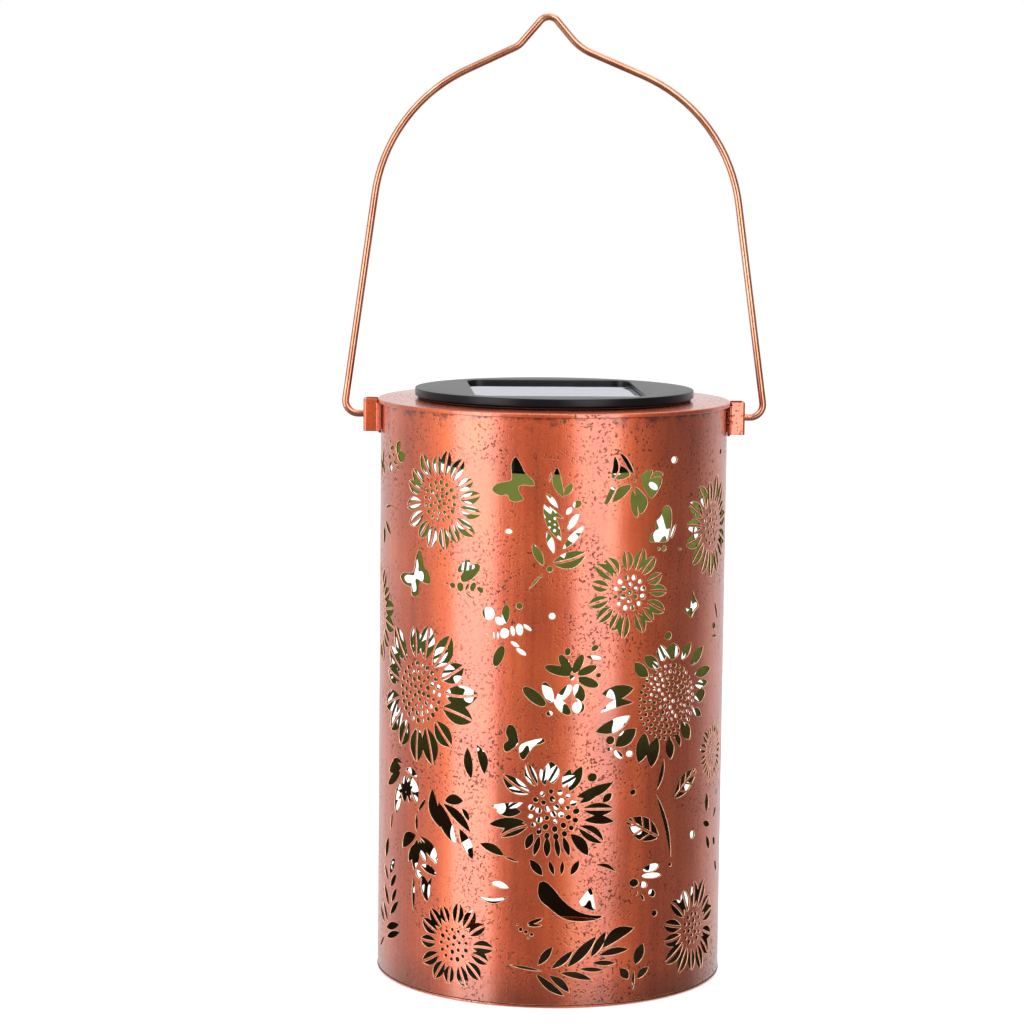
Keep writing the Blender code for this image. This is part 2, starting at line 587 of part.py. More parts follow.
def build_cup():
    profile = [(0, CUP_Z0), (NECK_R - 0.8, CUP_Z0), (NECK_R, CUP_Z0 + 0.8), (NECK_R, CUP_Z1),
               (NECK_IN, CUP_Z1), (NECK_IN, CUP_FLOOR), (0, CUP_FLOOR)]
    cup = add_object("lower_housing", *lathe_mesh(profile, LID_ROUND), BLACK, origin=(0, 0, CUP_Z0))
    x0, x1, y0, y1 = DOOR
    low = CUP_FLOOR - 0.5
    walls = {
        "side": box_mesh(x0 - 1.6, x1 + 1.6, -9.0, -8.0, low, 170.0),
        "left": box_mesh(x0 - 1.6, x0 - 0.6, -20.4, -8.5, low, 169.5),
        "right": box_mesh(x1 + 0.6, x1 + 1.6, -20.4, -8.5, low, 169.5),
    }
    for name, wall in walls.items():
        modify(cup, "UNION", f"add_wall_{name}", wall)
    for i, (x, y) in enumerate(SCREW_SPOTS):
        modify(cup, "UNION", f"add_post_{i}", rod_mesh(x, y, 3.6, low, 166.6, 10))
        modify(cup, "DIFFERENCE", f"cut_head_{i}", rod_mesh(x, y, 2.6, 158.0, 162.6, 8))
        modify(cup, "DIFFERENCE", f"cut_shank_{i}", rod_mesh(x, y, 1.3, 158.0, 168.0, 6))
    edge = GAP
    modify(cup, "DIFFERENCE", "cut_door", box_mesh(x0 - edge, x1 + edge, y0 - edge, y1 + edge, 158.0, 163.0))
    modify(cup, "DIFFERENCE", "cut_lamp", rod_mesh(0, 0, 4.4, 158.0, 163.0, 16))
    modify(cup, "DIFFERENCE", "cut_switch", box_mesh(13.5, 18.5, 4.6, 7.4, 158.0, 163.0))

    hinge = (0, y0, CUP_Z0)
    add_object("battery_door", *box_mesh(x0, x1, y0, y1, CUP_Z0, CUP_Z0 + 1.2), BLACK, origin=hinge)
    for i, (x, y) in enumerate(SCREW_SPOTS):
        screw = [(0, 160.4), (1.7, 160.4), (2.2, 160.9), (2.2, 162.2), (0.95, 162.3), (0.95, 174.4), (0.4, 175.2), (0, 175.2)]
        points, faces = lathe_mesh(screw, 6)
        points = [(px + x, py + y, pz) for px, py, pz in points]
        add_object(f"housing_screw_{i + 1}", points, faces, STEEL, origin=(x, y, 160.4))


def lying(mesh, x, y, z):
    """A mesh built along Z, laid along X and moved."""
    points, faces = mesh
    return [(pz + x, py + y, -px + z) for px, py, pz in points], faces


def build_electrics():
    cell = [(0, -21.5), (4.6, -21.5), (BATTERY_R, -21.0), (BATTERY_R, 21.0), (4.6, 21.4), (1.9, 21.4),
            (1.9, 22.2), (0, 22.2)]
    battery = lying(lathe_mesh(cell, 14), 0, BATTERY_Y, BATTERY_Z)
    add_object("battery", *battery, SLEEVE, origin=(0, BATTERY_Y, BATTERY_Z))
    y0, y1 = BATTERY_Y - 3.6, BATTERY_Y + 3.6
    add_object("contact_positive", *box_mesh(22.5, 22.9, y0, y1, 162.0, 171.2), NICKEL)
    add_object("contact_negative", *box_mesh(-24.6, -24.2, y0, y1, 162.0, 171.2), NICKEL)
    turns = 2.5 * 2 * math.pi * np.linspace(0, 1, 21)
    radius = np.linspace(3.4, 2.2, 21)
    coil = np.column_stack([
        np.linspace(-23.6, -22.2, 21),
        BATTERY_Y + radius * np.cos(turns),
        BATTERY_Z + radius * np.sin(turns),
    ])
    add_object("contact_spring", *sweep_mesh(coil, 0.22, 5), NICKEL)
    add_object("circuit_board", *box_mesh(-15.0, 15.0, -5.5, 16.5, 168.8, 170.0), GREEN_BOARD)
    add_object("driver_chip", *box_mesh(0.5, 5.0, 8.5, 12.0, 170.3, 171.8), FERRITE)
    drum = [(0, 170.3), (2.4, 170.3), (2.4, 171.0), (1.7, 171.2), (1.7, 174.0), (2.4, 174.2), (2.4, 174.9), (0, 174.9)]
    points, faces = lathe_mesh(drum, 8)
    add_object("inductor", [(x - 9.0, y + 9.0, z) for x, y, z in points], faces, FERRITE)
    lamp = [(0, 160.2), (1.3, 160.5), (2.2, 161.4), (2.5, 162.6), (2.5, 166.4), (2.9, 166.4), (2.9, 167.4), (0, 167.4)]
    add_object("led", *lathe_mesh(lamp, 10), LED_RESIN, origin=(0, 0, 167.4))
    lens = [(0, 157.4), (2.0, 157.9), (3.4, 159.2), (4.0, 161.0), (4.0, 161.9), (5.4, 161.9), (5.4, 162.7),
            (3.2, 162.7), (3.2, 161.0), (2.6, 159.7), (1.5, 158.7), (0, 158.3)]
    add_object("led_lens", *lathe_mesh(lens, 14), CLEAR, origin=(0, 0, 162.7))
    add_object("switch_case", *box_mesh(11.5, 20.5, 4.0, 8.0, 162.6, 166.0), NICKEL)
    tee = [(13.9, 158.8), (16.1, 158.8), (16.1, 161.9), (18.4, 161.9), (18.4, 162.3), (11.6, 162.3), (11.6, 161.9), (13.9, 161.9)]
    points, faces = prism_mesh(tee, 4.9, 7.1)
    points = [(x, y, z) for x, z, y in points]
    add_object("switch_slider", points, [f[::-1] for f in faces], BLACK, origin=(15.0, 6.0, 158.8))


def build_leads():
    routes = {
        "panel_lead_red": ([(1.6, 0, 179.9), (1.6, 0, 176.5), (8.0, 5.0, 175.5), (10.0, 6.0, 170.4)], RED_WIRE),
        "panel_lead_black": ([(-1.6, 0, 179.9), (-1.6, 0, 176.0), (-4.0, 2.0, 175.0), (-5.0, 3.0, 170.4)], BLACK_WIRE),
        "battery_lead_red": ([(22.7, -14.0, 171.6), (22.7, -14.0, 174.0), (12.0, -3.0, 174.0), (12.0, -3.0, 170.4)], RED_WIRE),
        "battery_lead_black": ([(-24.4, -14.0, 171.6), (-24.4, -14.0, 174.0), (-12.0, -3.0, 174.0), (-12.0, -3.0, 170.4)], BLACK_WIRE),
    }
    for name, (corners, look) in routes.items():
        add_object(name, *sweep_mesh(filleted(corners, [1.2, 1.2], 3), 0.5, 6), look, smooth=60)


def main():
    clear_scene()
    build_drum()
    build_ear("ear_right", 1)
    build_ear("ear_left", -1)
    build_bail()
    build_cap()
    build_cup()
    build_electrics()
    build_leads()


main()
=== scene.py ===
"""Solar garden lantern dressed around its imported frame.

A drum of laser-cut sheet in an antique copper coat, a wire handle swinging in two folded ears, and a
black lift-out lid that carries a solar panel above and its electrics below. Sizes in the classes are in
millimetres; every mesh is turned into metres as it is made, in the frame's own axes: the drum stands on
the XY plane with its axis on Z and its front towards -Y.
"""

import logging
import math
from collections.abc import Callable, Sequence
from dataclasses import dataclass, field
from enum import Enum

import bpy
import numpy as np
from mathutils import Matrix, Vector
from mathutils.geometry import delaunay_2d_cdt


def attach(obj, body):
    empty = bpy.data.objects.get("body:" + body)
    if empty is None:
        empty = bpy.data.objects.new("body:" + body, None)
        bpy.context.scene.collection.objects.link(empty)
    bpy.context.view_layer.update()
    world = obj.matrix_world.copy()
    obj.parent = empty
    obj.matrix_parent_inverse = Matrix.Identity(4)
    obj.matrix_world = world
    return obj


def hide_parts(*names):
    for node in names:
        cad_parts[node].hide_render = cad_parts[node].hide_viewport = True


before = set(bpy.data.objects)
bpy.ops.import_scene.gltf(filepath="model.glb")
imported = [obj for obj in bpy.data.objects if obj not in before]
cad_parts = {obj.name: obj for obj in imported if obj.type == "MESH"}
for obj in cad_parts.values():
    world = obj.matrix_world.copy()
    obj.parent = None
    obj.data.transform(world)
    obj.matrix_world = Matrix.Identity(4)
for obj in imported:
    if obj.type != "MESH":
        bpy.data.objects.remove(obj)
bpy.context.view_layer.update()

MM = 0.001
LOG = logging.getLogger("lantern")
Outline = np.ndarray  # (N, 2) points of one closed opening, in mm
Mesh = tuple[np.ndarray, list[np.ndarray]]  # points (N, 3) in mm and blocks of equal-sided faces
Place = Callable[[np.ndarray, np.ndarray], np.ndarray]  # puts flat points at given depths into space
Tree, Node, Socket = bpy.types.NodeTree, bpy.types.Node, bpy.types.NodeSocket
Look = bpy.types.Material
Looks = dict[str, Look]


# ------------------------------------------------------------------ colours and nodes
def linear(code: str) -> tuple[float, float, float, float]:
    """Turns an sRGB hex colour into linear light: c / 12.92, or ((c + 0.055) / 1.055) ** 2.4 above 0.04045.

    Args:
        code: the colour as "#rrggbb".

    Returns:
        The linear red, green, blue and an alpha of 1.
    """
    parts = (int(code[i : i + 2], 16) / 255 for i in (1, 3, 5))
    red, green, blue = (c / 12.92 if c <= 0.04045 else ((c + 0.055) / 1.055) ** 2.4 for c in parts)
    return red, green, blue, 1.0


def plug(tree: Tree, value: object, socket: Socket) -> None:
    """Links a value's socket into another, or sets it as a plain value.

    Args:
        tree: the node tree.
        value: a plain value, a socket, or a node whose first output is meant.
        socket: the input it goes into.
    """
    source = value.outputs[0] if isinstance(value, Node) else value
    if isinstance(source, Socket):
        tree.links.new(source, socket)
    else:
        socket.default_value = source


def add(tree: Tree, kind: str, inputs: dict | None = None, **settings: object) -> Node:
    """Adds one node with its settings and its links.

    Args:
        tree: the node tree it goes into.
        kind: the node's type, without the leading ShaderNode.
        inputs: socket name or number to whatever is plugged in.
        settings: the node's own properties; stops gives a ramp's (position, hex colour) pairs.

    Returns:
        The new node.
    """
    made = tree.nodes.new("ShaderNode" + kind)
    stops = settings.pop("stops", ())
    for place, _ in stops[2:]:
        made.color_ramp.elements.new(place)
    for stop, (place, code) in zip(made.color_ramp.elements if stops else (), stops):
        stop.position, stop.color = place, linear(code)
    for name, value in settings.items():
        setattr(made, name, value)
    for key, value in (inputs or {}).items():
        plug(tree, value, made.inputs[key])
    return made


def per_mm(size: float) -> float:
    """A texture's scale, in repeats per metre, for features of that size in mm."""
    return 1.0 / (size * MM)


@dataclass(frozen=True)
class Finish:
    """A procedural finish: each kind lays its nodes on Object coordinates and names the shader's sockets."""

    name: str

    def sockets(self, tree: Tree, at: Socket) -> dict[str, object]:
        """What goes into the Principled shader, by socket; nothing here."""
        return {}

    def make(self) -> Look:
        """Makes the material.

        Returns:
            The material with its shader's sockets set and linked.
        """
        made = bpy.data.materials.new(self.name)
        made.use_nodes = True
        tree = made.node_tree
        for key, value in self.sockets(tree, add(tree, "TexCoord").outputs["Object"]).items():
            plug(tree, value, tree.nodes["Principled BSDF"].inputs[key])
        return made


@dataclass(frozen=True)
class AgedCopperCoat(Finish):
    """Sheet steel with an antique copper coat under clear lacquer, brushed and then spotted dark.

    It gives the eye a warm satin metal: soft orange bands, upright brush lines, brown clouds and
    dark pits, and a thin white gloss from the lacquer that greys the edges.
    """

    bright: str = "#ee6f33"
    middle: str = "#d95a29"
    brown: str = "#aa4622"
    patina_and_shade: str = "#34170c"
    roughness: float = 0.44
    cloud_mm: float = 24.0
    streak_mm: float = 1.3
    band_mm: float = 7.0
    grain_mm: float = 0.55
    pit_mm: float = 1.3
    speck_mm: float = 0.9
    cluster_mm: float = 19.0
    ragged_mm: float = 2.8
    dent_mm: float = 6.0
    rims: tuple[float, float] | None = None  # heights in mm below and above which patina and painted shade gather
    pits: float = 0.78
    lacquer: float = 1.0
    lacquer_ior: float = 1.86
    haze: float = 0.2
    grit: float = 1.0

    def tone(self, tree: Tree, at: Socket, tall: Node, streaks: Node, grain: Node) -> Node:
        """Adds clouds, bands, grain and streaks up and lays the sum on the three coppers.

        Args:
            tree: the node tree.
            at: Object coordinates.
            tall: the same, drawn out upright.
            streaks: the brush lines.
            grain: the fine grain.

        Returns:
            The colour before patina, painted shade and dark spots are laid on.
        """
        clouds = {"Vector": at, "Scale": per_mm(self.cloud_mm), "Detail": 4.0, "Roughness": 0.6}
        bands = add(tree, "TexNoise", {"Vector": tall, "Scale": per_mm(self.band_mm), "Detail": 2.0})
        blend = add(tree, "Math", {0: add(tree, "TexNoise", clouds), 1: bands}, operation="ADD")
        for part, share in ((grain, 0.55), (streaks, 0.35)):
            blend = add(tree, "Math", {0: part, 1: share, 2: blend}, operation="MULTIPLY_ADD")
        blend = add(tree, "MapRange", {"Value": blend, "From Min": 0.95, "From Max": 1.95})
        stops = ((0.0, self.brown), (0.42, self.middle), (0.80, self.bright))
        return add(tree, "ValToRGB", {"Fac": blend}, stops=stops)

    def dark_spots(self, tree: Tree, at: Socket) -> Node:
        """Pits, one dot in each cell of a random net where the cell's own number allows it, and fine specks.

        Args:
            tree: the node tree.
            at: Object coordinates.

        Returns:
            How dark each point is, gathered in clusters.
        """
        cells = add(tree, "TexVoronoi", {"Vector": at, "Scale": per_mm(self.pit_mm), "Randomness": 1.0})
        dot = add(tree, "MapRange", {"Value": cells.outputs["Distance"], "From Min": 0.24, "From Max": 0.13})
        pick = add(tree, "SeparateColor", {"Color": cells.outputs["Color"]})
        keep = add(tree, "MapRange", {"Value": pick, "From Min": 0.46, "From Max": 0.56})
        cluster = add(tree, "TexNoise", {"Vector": at, "Scale": per_mm(self.cluster_mm), "Detail": 3.0})
        cluster = add(tree, "MapRange", {"Value": cluster, "From Min": 0.36, "From Max": 0.58})
        specks = add(tree, "TexNoise", {"Vector": at, "Scale": per_mm(self.speck_mm), "Detail": 2.0})
        specks = add(tree, "MapRange", {"Value": specks, "From Min": 0.575, "From Max": 0.66})
        spots = add(tree, "Math", {0: dot, 1: keep}, operation="MULTIPLY")
        spots = add(tree, "Math", {0: spots, 1: cluster}, operation="MULTIPLY")
        specks = add(tree, "Math", {0: specks, 1: cluster}, operation="MULTIPLY")
        dark = add(tree, "Math", {0: spots, 1: specks}, operation="MAXIMUM")
        return add(tree, "Math", {0: dark, 1: self.pits}, operation="MULTIPLY")

    def rim_patina_and_shade(self, tree: Tree, at: Socket) -> Node:
        """Ragged patina with painted shade at the drum's foot and top, and painted shade as short broken
        dashes right under the top lip.

        Args:
            tree: the node tree.
            at: Object coordinates.

        Returns:
            How much patina and painted shade each point has.
        """
        low, high = (h * MM for h in self.rims)
        reach, spread = 6 * MM, 4 * MM
        height = add(tree, "SeparateXYZ", {"Vector": at}).outputs["Z"]
        ragged = add(tree, "TexNoise", {"Vector": at, "Scale": per_mm(self.ragged_mm), "Detail": 4.0})
        wander = {"Value": ragged, "From Min": 0.3, "From Max": 0.7, "To Min": -spread, "To Max": spread}
        edge = add(tree, "Math", {0: height, 1: add(tree, "MapRange", wander)}, operation="ADD")
        # patina mixed with painted shade: darker towards the foot and up under the top ring
        foot = add(tree, "MapRange", {"Value": edge, "From Min": low + reach, "From Max": low - reach})
        head = add(tree, "MapRange", {"Value": edge, "From Min": high, "From Max": high + spread})
        rim = add(tree, "Math", {0: foot, 1: head}, operation="MAXIMUM")
        rim = add(tree, "Math", {0: rim, 1: ragged}, operation="MULTIPLY")
        # painted shade: short dark dashes in the shadow right under the top ring's lip
        lip = {"Value": height, "From Min": high + 0.9 * MM, "From Max": high + 1.3 * MM}
        dash = add(tree, "MapRange", {"Value": ragged, "From Min": 0.47, "From Max": 0.53})
        dash = add(tree, "Math", {0: add(tree, "MapRange", lip), 1: dash}, operation="MULTIPLY")
        dash = add(tree, "Math", {0: dash, 1: 0.7}, operation="MULTIPLY")
        return add(tree, "Math", {0: rim, 1: dash}, operation="MAXIMUM")

    def sockets(self, tree: Tree, at: Socket) -> dict[str, object]:
        """Draws the coat; dark spots are also rougher, a little sunk and bare of lacquer.

        Args:
            tree: the node tree.
            at: Object coordinates.

        Returns:
            The shader's sockets.
        """
        tall = add(tree, "Mapping", {"Vector": at, "Scale": (1.0, 1.0, 0.05)})
        streaks = add(tree, "TexNoise", {"Vector": tall, "Scale": per_mm(self.streak_mm), "Detail": 3.0})
        grain = add(tree, "TexNoise", {"Vector": at, "Scale": per_mm(self.grain_mm), "Detail": 2.0})
        dents = add(tree, "TexNoise", {"Vector": at, "Scale": per_mm(self.dent_mm), "Detail": 2.0})
        colour = self.tone(tree, at, tall, streaks, grain)
        dark = self.dark_spots(tree, at)
        # rim patina with painted shade first, then the dark spots of real pitting, laid over the copper
        for amount in ([self.rim_patina_and_shade(tree, at)] if self.rims else []) + [dark]:
            mixed = add(tree, "Mix", {0: amount, 6: colour, 7: linear(self.patina_and_shade)}, data_type="RGBA")
            colour = mixed.outputs[2]
        gloss = add(tree, "MapRange", {"Value": dark, "To Min": self.lacquer, "To Max": 0.1 * self.lacquer})
        satin = {"Value": streaks, "To Min": self.roughness - 0.05, "To Max": self.roughness + 0.07}
        satin = add(tree, "MapRange", satin)
        rough = add(tree, "Math", {0: dark, 1: 0.3, 2: satin}, operation="MULTIPLY_ADD")
        relief = add(tree, "Math", {0: dents, 1: 0.016 * self.grit}, operation="MULTIPLY")
        for part, share in ((grain, 0.022 * self.grit), (dark, -0.05)):
            relief = add(tree, "Math", {0: part, 1: share, 2: relief}, operation="MULTIPLY_ADD")
        bump = add(tree, "Bump", {"Height": relief, "Distance": MM, "Strength": 1.0})
        return {
            "Metallic": 1.0, "Base Color": colour, "Roughness": rough, "Normal": bump, "Coat Normal": bump,
            "Coat Weight": gloss, "Coat Roughness": self.haze, "Coat IOR": self.lacquer_ior,
        }


@dataclass(frozen=True)
class InnerTarnishAndShade(Finish):
    """The drum's inside: overspray and tarnish in soft green-brown patches, dull, with painted light and
    shade by height: lighter green near the lamp at the top, darker brown below.
    """

    name: str = "inner_tarnish_and_shade"
    green: str = "#6b7636"
    brown: str = "#3a2413"
    patch_mm: float = 26.0
    grain_mm: float = 0.6
    shade_below: float = 35.0
    lit_above: float = 105.0

    def sockets(self, tree: Tree, at: Socket) -> dict[str, object]:
        """Mixes the green and the brown by height, as painted lamp light above and painted shade below, and
        by soft patches.

        Args:
            tree: the node tree.
            at: Object coordinates.

        Returns:
            The shader's sockets.
        """
        height = add(tree, "SeparateXYZ", {"Vector": at}).outputs["Z"]
        patch = add(tree, "TexNoise", {"Vector": at, "Scale": per_mm(self.patch_mm), "Detail": 3.0})
        wander = {"Value": patch, "From Min": 0.3, "From Max": 0.7, "To Min": -0.35, "To Max": 0.35}
        # painted light and shade: green where the lamp lights the upper inside, brown shade towards the
        # bottom
        rise = {"Value": height, "From Min": self.shade_below * MM, "From Max": self.lit_above * MM}
        level = {0: add(tree, "MapRange", rise), 1: add(tree, "MapRange", wander)}
        level = add(tree, "Math", level, operation="ADD", use_clamp=True)
        mixed = {0: level, 6: linear(self.brown), 7: linear(self.green)}
        colour = add(tree, "Mix", mixed, data_type="RGBA").outputs[2]
        grain = add(tree, "TexNoise", {"Vector": at, "Scale": per_mm(self.grain_mm), "Detail": 2.0})
        bump = add(tree, "Bump", {"Height": grain, "Distance": 0.03 * MM, "Strength": 1.0})
        return {"Roughness": 0.75, "Specular IOR Level": 0.25, "Base Color": colour, "Normal": bump}


@dataclass(frozen=True)
class CutEdgeHighlight(Finish):
    """The cut rims of the openings: bare copper, rounded, and painted pale as a standing highlight, so that
    each shape has a light outline under any light.
    """

    name: str = "cut_copper_edge_painted_highlight"
    pale: str = "#f3c3a0"
    warm: str = "#d98f68"
    mark_mm: float = 1.6

    def sockets(self, tree: Tree, at: Socket) -> dict[str, object]:
        """Varies the pale copper of the painted highlight along the rim at the pitch of the cutting marks.

        Args:
            tree: the node tree.
            at: Object coordinates.

        Returns:
            The shader's sockets.
        """
        marks = add(tree, "TexNoise", {"Vector": at, "Scale": per_mm(self.mark_mm), "Detail": 2.0})
        # painted highlight: pale copper on every eased rim, bright whatever the light
        colour = add(tree, "ValToRGB", {"Fac": marks}, stops=((0.3, self.warm), (0.62, self.pale)))
        return {"Metallic": 0.35, "Roughness": 0.38, "Base Color": colour}


@dataclass(frozen=True)
class Moulded(Finish):
    """A moulded, plated, sprayed or printed surface in one colour with its own fine grain.

    Two close colours mix in soft patches, and the grain lifts the surface by a few hundredths of a
    millimetre, so plastic shows its mould texture and plate its slight waviness.
    """

    colour: str
    second: str
    roughness: float
    grain_mm: float
    relief_mm: float
    metallic: float = 0.0
    ior: float = 1.5
    patch_mm: float = 12.0
    coat: float = 0.0
    gleam: float = 0.5

    def sockets(self, tree: Tree, at: Socket) -> dict[str, object]:
        """Draws the patches, the grain's bump and a roughness that follows the grain.

        Args:
            tree: the node tree.
            at: Object coordinates.

        Returns:
            The shader's sockets; a metal keeps the default IOR.
        """
        patch = add(tree, "TexNoise", {"Vector": at, "Scale": per_mm(self.patch_mm), "Detail": 3.0})
        level = add(tree, "MapRange", {"Value": patch, "From Min": 0.35, "From Max": 0.65})
        mixed = {0: level, 6: linear(self.colour), 7: linear(self.second)}
        grain = add(tree, "TexNoise", {"Vector": at, "Scale": per_mm(self.grain_mm), "Detail": 2.0})
        rough = {"Value": grain, "To Min": self.roughness - 0.06, "To Max": self.roughness + 0.06}
        bump = {"Height": grain, "Distance": self.relief_mm * MM, "Strength": 1.0}
        plastic = {} if self.metallic else {"IOR": self.ior, "Specular IOR Level": self.gleam}
        return plastic | {
            "Metallic": self.metallic, "Coat Weight": self.coat, "Coat Roughness": 0.1,
            "Base Color": add(tree, "Mix", mixed, data_type="RGBA").outputs[2],
            "Roughness": add(tree, "MapRange", rough), "Normal": add(tree, "Bump", bump),
        }


@dataclass(frozen=True)
class SiliconCell(Finish):
    """A monocrystalline cell: near-black blue with fine silver fingers and two bus bars."""

    name: str = "silicon_cell"
    silicon: str = "#10182e"
    sheen: str = "#1d2c52"
    silver: str = "#9ea3ab"
    turn: float = 3.5
    pitch_mm: float = 1.6
    finger_mm: float = 0.12
    bar_at_mm: float = 10.3
    bar_half_mm: float = 0.5
    cloud_mm: float = 9.0

    def sockets(self, tree: Tree, at: Socket) -> dict[str, object]:
        """Lays fingers across each cell and two bus bars along it, in the lid's turned axes.

        Args:
            tree: the node tree.
            at: Object coordinates.

        Returns:
            The shader's sockets.
        """
        turned = add(tree, "Mapping", {"Vector": at, "Rotation": (0.0, 0.0, -math.radians(self.turn))})
        across = add(tree, "SeparateXYZ", {"Vector": turned}).outputs["X"]
        fold = add(tree, "Math", {0: across, 1: self.pitch_mm * MM}, operation="PINGPONG")
        finger = add(tree, "Math", {0: fold, 1: self.finger_mm * MM}, operation="LESS_THAN")
        side = add(tree, "Math", {0: across}, operation="ABSOLUTE")
        bar = {0: side, 1: self.bar_at_mm * MM, 2: self.bar_half_mm * MM}
        metal = {0: finger, 1: add(tree, "Math", bar, operation="COMPARE")}
        metal = add(tree, "Math", metal, operation="MAXIMUM")
        cloud = add(tree, "TexNoise", {"Vector": at, "Scale": per_mm(self.cloud_mm), "Detail": 3.0})
        blue = {0: cloud, 6: linear(self.silicon), 7: linear(self.sheen)}
        blue = add(tree, "Mix", blue, data_type="RGBA").outputs[2]
        colour = add(tree, "Mix", {0: metal, 6: blue, 7: linear(self.silver)}, data_type="RGBA").outputs[2]
        return {
            "Base Color": colour, "Metallic": metal, "Roughness": 0.2,
            "Coat Weight": 1.0, "Coat Roughness": 0.05,
        }


@dataclass(frozen=True)
class ClearCover(Finish):
    """Poured clear resin over the cells: it mirrors the sky at a low angle and shows the cells from above."""

    name: str = "clear_cover_resin"
    tint: str = "#f1f3fa"
    ior: float = 1.6
    roughness: float = 0.012
    wave_mm: float = 11.0

    def sockets(self, tree: Tree, at: Socket) -> dict[str, object]:
        """Puts a clear leaf and a mirror leaf, mixed by the Fresnel share, in the Principled shader's place.

        A faint pour wave bends the mirror.

        Args:
            tree: the node tree.
            at: Object coordinates.

        Returns:
            Nothing to plug, as the Principled shader is gone.
        """
        tree.nodes.remove(tree.nodes["Principled BSDF"])
        wave = add(tree, "TexNoise", {"Vector": at, "Scale": per_mm(self.wave_mm), "Detail": 1.0})
        bump = add(tree, "Bump", {"Height": wave, "Distance": 0.015 * MM, "Strength": 1.0})
        clear = add(tree, "BsdfTransparent", {"Color": linear(self.tint)})
        mirror = {"Color": linear(self.tint), "Roughness": self.roughness, "Normal": bump}
        share = add(tree, "Fresnel", {"IOR": self.ior, "Normal": bump})
        share = {"Value": share, "From Min": 0.09, "From Max": 0.38, "To Min": 0.05, "To Max": 0.88}
        leaves = {0: add(tree, "MapRange", share), 1: clear, 2: add(tree, "BsdfAnisotropic", mirror)}
        plug(tree, add(tree, "MixShader", leaves), tree.nodes["Material Output"].inputs[0])
        return {}


@dataclass(frozen=True)
class LampResin(Finish):
    """Cast clear epoxy of a lamp or its lens: smooth and warm, with a slight haze."""

    colour: str
    roughness: float = 0.08
    haze_mm: float = 2.0

    def sockets(self, tree: Tree, at: Socket) -> dict[str, object]:
        """A see-through dielectric whose haze varies softly.

        Args:
            tree: the node tree.
            at: Object coordinates.

        Returns:
            The shader's sockets.
        """
        haze = add(tree, "TexNoise", {"Vector": at, "Scale": per_mm(self.haze_mm), "Detail": 2.0})
        rough = {"Value": haze, "To Min": self.roughness * 0.5, "To Max": self.roughness * 2.0}
        return {
            "IOR": 1.54, "Transmission Weight": 0.85, "Base Color": linear(self.colour),
            "Roughness": add(tree, "MapRange", rough),
        }


@dataclass(frozen=True)
class LightTable(Finish):
    """Opal acrylic of a light table: white, matte and faintly lit from inside, in very soft clouds."""

    name: str = "light_table"
    cloud_mm: float = 900.0

    def sockets(self, tree: Tree, at: Socket) -> dict[str, object]:
        """Gives the clouded white both to the surface and to its own light.

        Args:
            tree: the node tree.
            at: Object coordinates.

        Returns:
            The shader's sockets.
        """
        tone = add(tree, "TexNoise", {"Vector": at, "Scale": per_mm(self.cloud_mm), "Detail": 1.0})
        white = add(tree, "ValToRGB", {"Fac": tone}, stops=((0.2, "#f4f4f4"), (0.8, "#f8f8f8")))
        return {"Roughness": 0.9, "Emission Strength": 0.42, "Base Color": white, "Emission Color": white}


# ------------------------------------------------------------------ mesh tools
def make_piece(
    name: str,
    mesh: Mesh,
    body: str,
    looks: Sequence[Look],
    stands_for: Sequence[str] = (),
    look_of: Sequence[int] | None = None,
    normals: np.ndarray | None = None,
    smooth: float = 32.0,
) -> None:
    """Puts a mesh into the scene as one finished piece riding on a body.

    Args:
        name: the piece's name.
        mesh: points in mm and blocks of faces.
        body: the frame's body that carries it.
        looks: its materials.
        stands_for: the frame's nodes it replaces.
        look_of: for each block of faces, which of the materials it has.
        normals: one normal for each face corner, or None to shade smooth up to an angle.
        smooth: that angle in degrees.
    """
    points, blocks = mesh
    data = bpy.data.meshes.new(name)
    faces = [face for block in blocks for face in block.tolist()]
    data.from_pydata((points * MM).tolist(), [], faces)
    for look in looks:
        data.materials.append(look)
    chosen = look_of or [0] * len(blocks)
    index = np.concatenate([np.full(len(block), k, np.int32) for block, k in zip(blocks, chosen)])
    data.polygons.foreach_set("material_index", index)
    data.shade_smooth()
    if normals is None:
        data.set_sharp_from_angle(angle=math.radians(smooth))
    else:
        data.normals_split_custom_set(normals.tolist())
    data.update()
    made = bpy.data.objects.new(name, data)
    bpy.context.scene.collection.objects.link(made)
    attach(made, body)
    if stands_for:
        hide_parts(*stands_for)
    LOG.info("%s: %d points, %d faces", name, len(points), len(faces))


def joined(*meshes: Mesh) -> Mesh:
    """Several closed meshes as one, each keeping its own blocks of faces.

    Args:
        meshes: the parts.

    Returns:
        The joined mesh, its blocks in the order of the parts.
    """
    starts = np.cumsum([0] + [len(points) for points, _ in meshes])
    blocks = [block + start for (_, found), start in zip(meshes, starts) for block in found]
    return np.vstack([points for points, _ in meshes]), blocks


def full_turn(sides: int) -> np.ndarray:
    """That many even angles round a full turn, from 0."""
    return 2 * math.pi * np.arange(sides) / sides


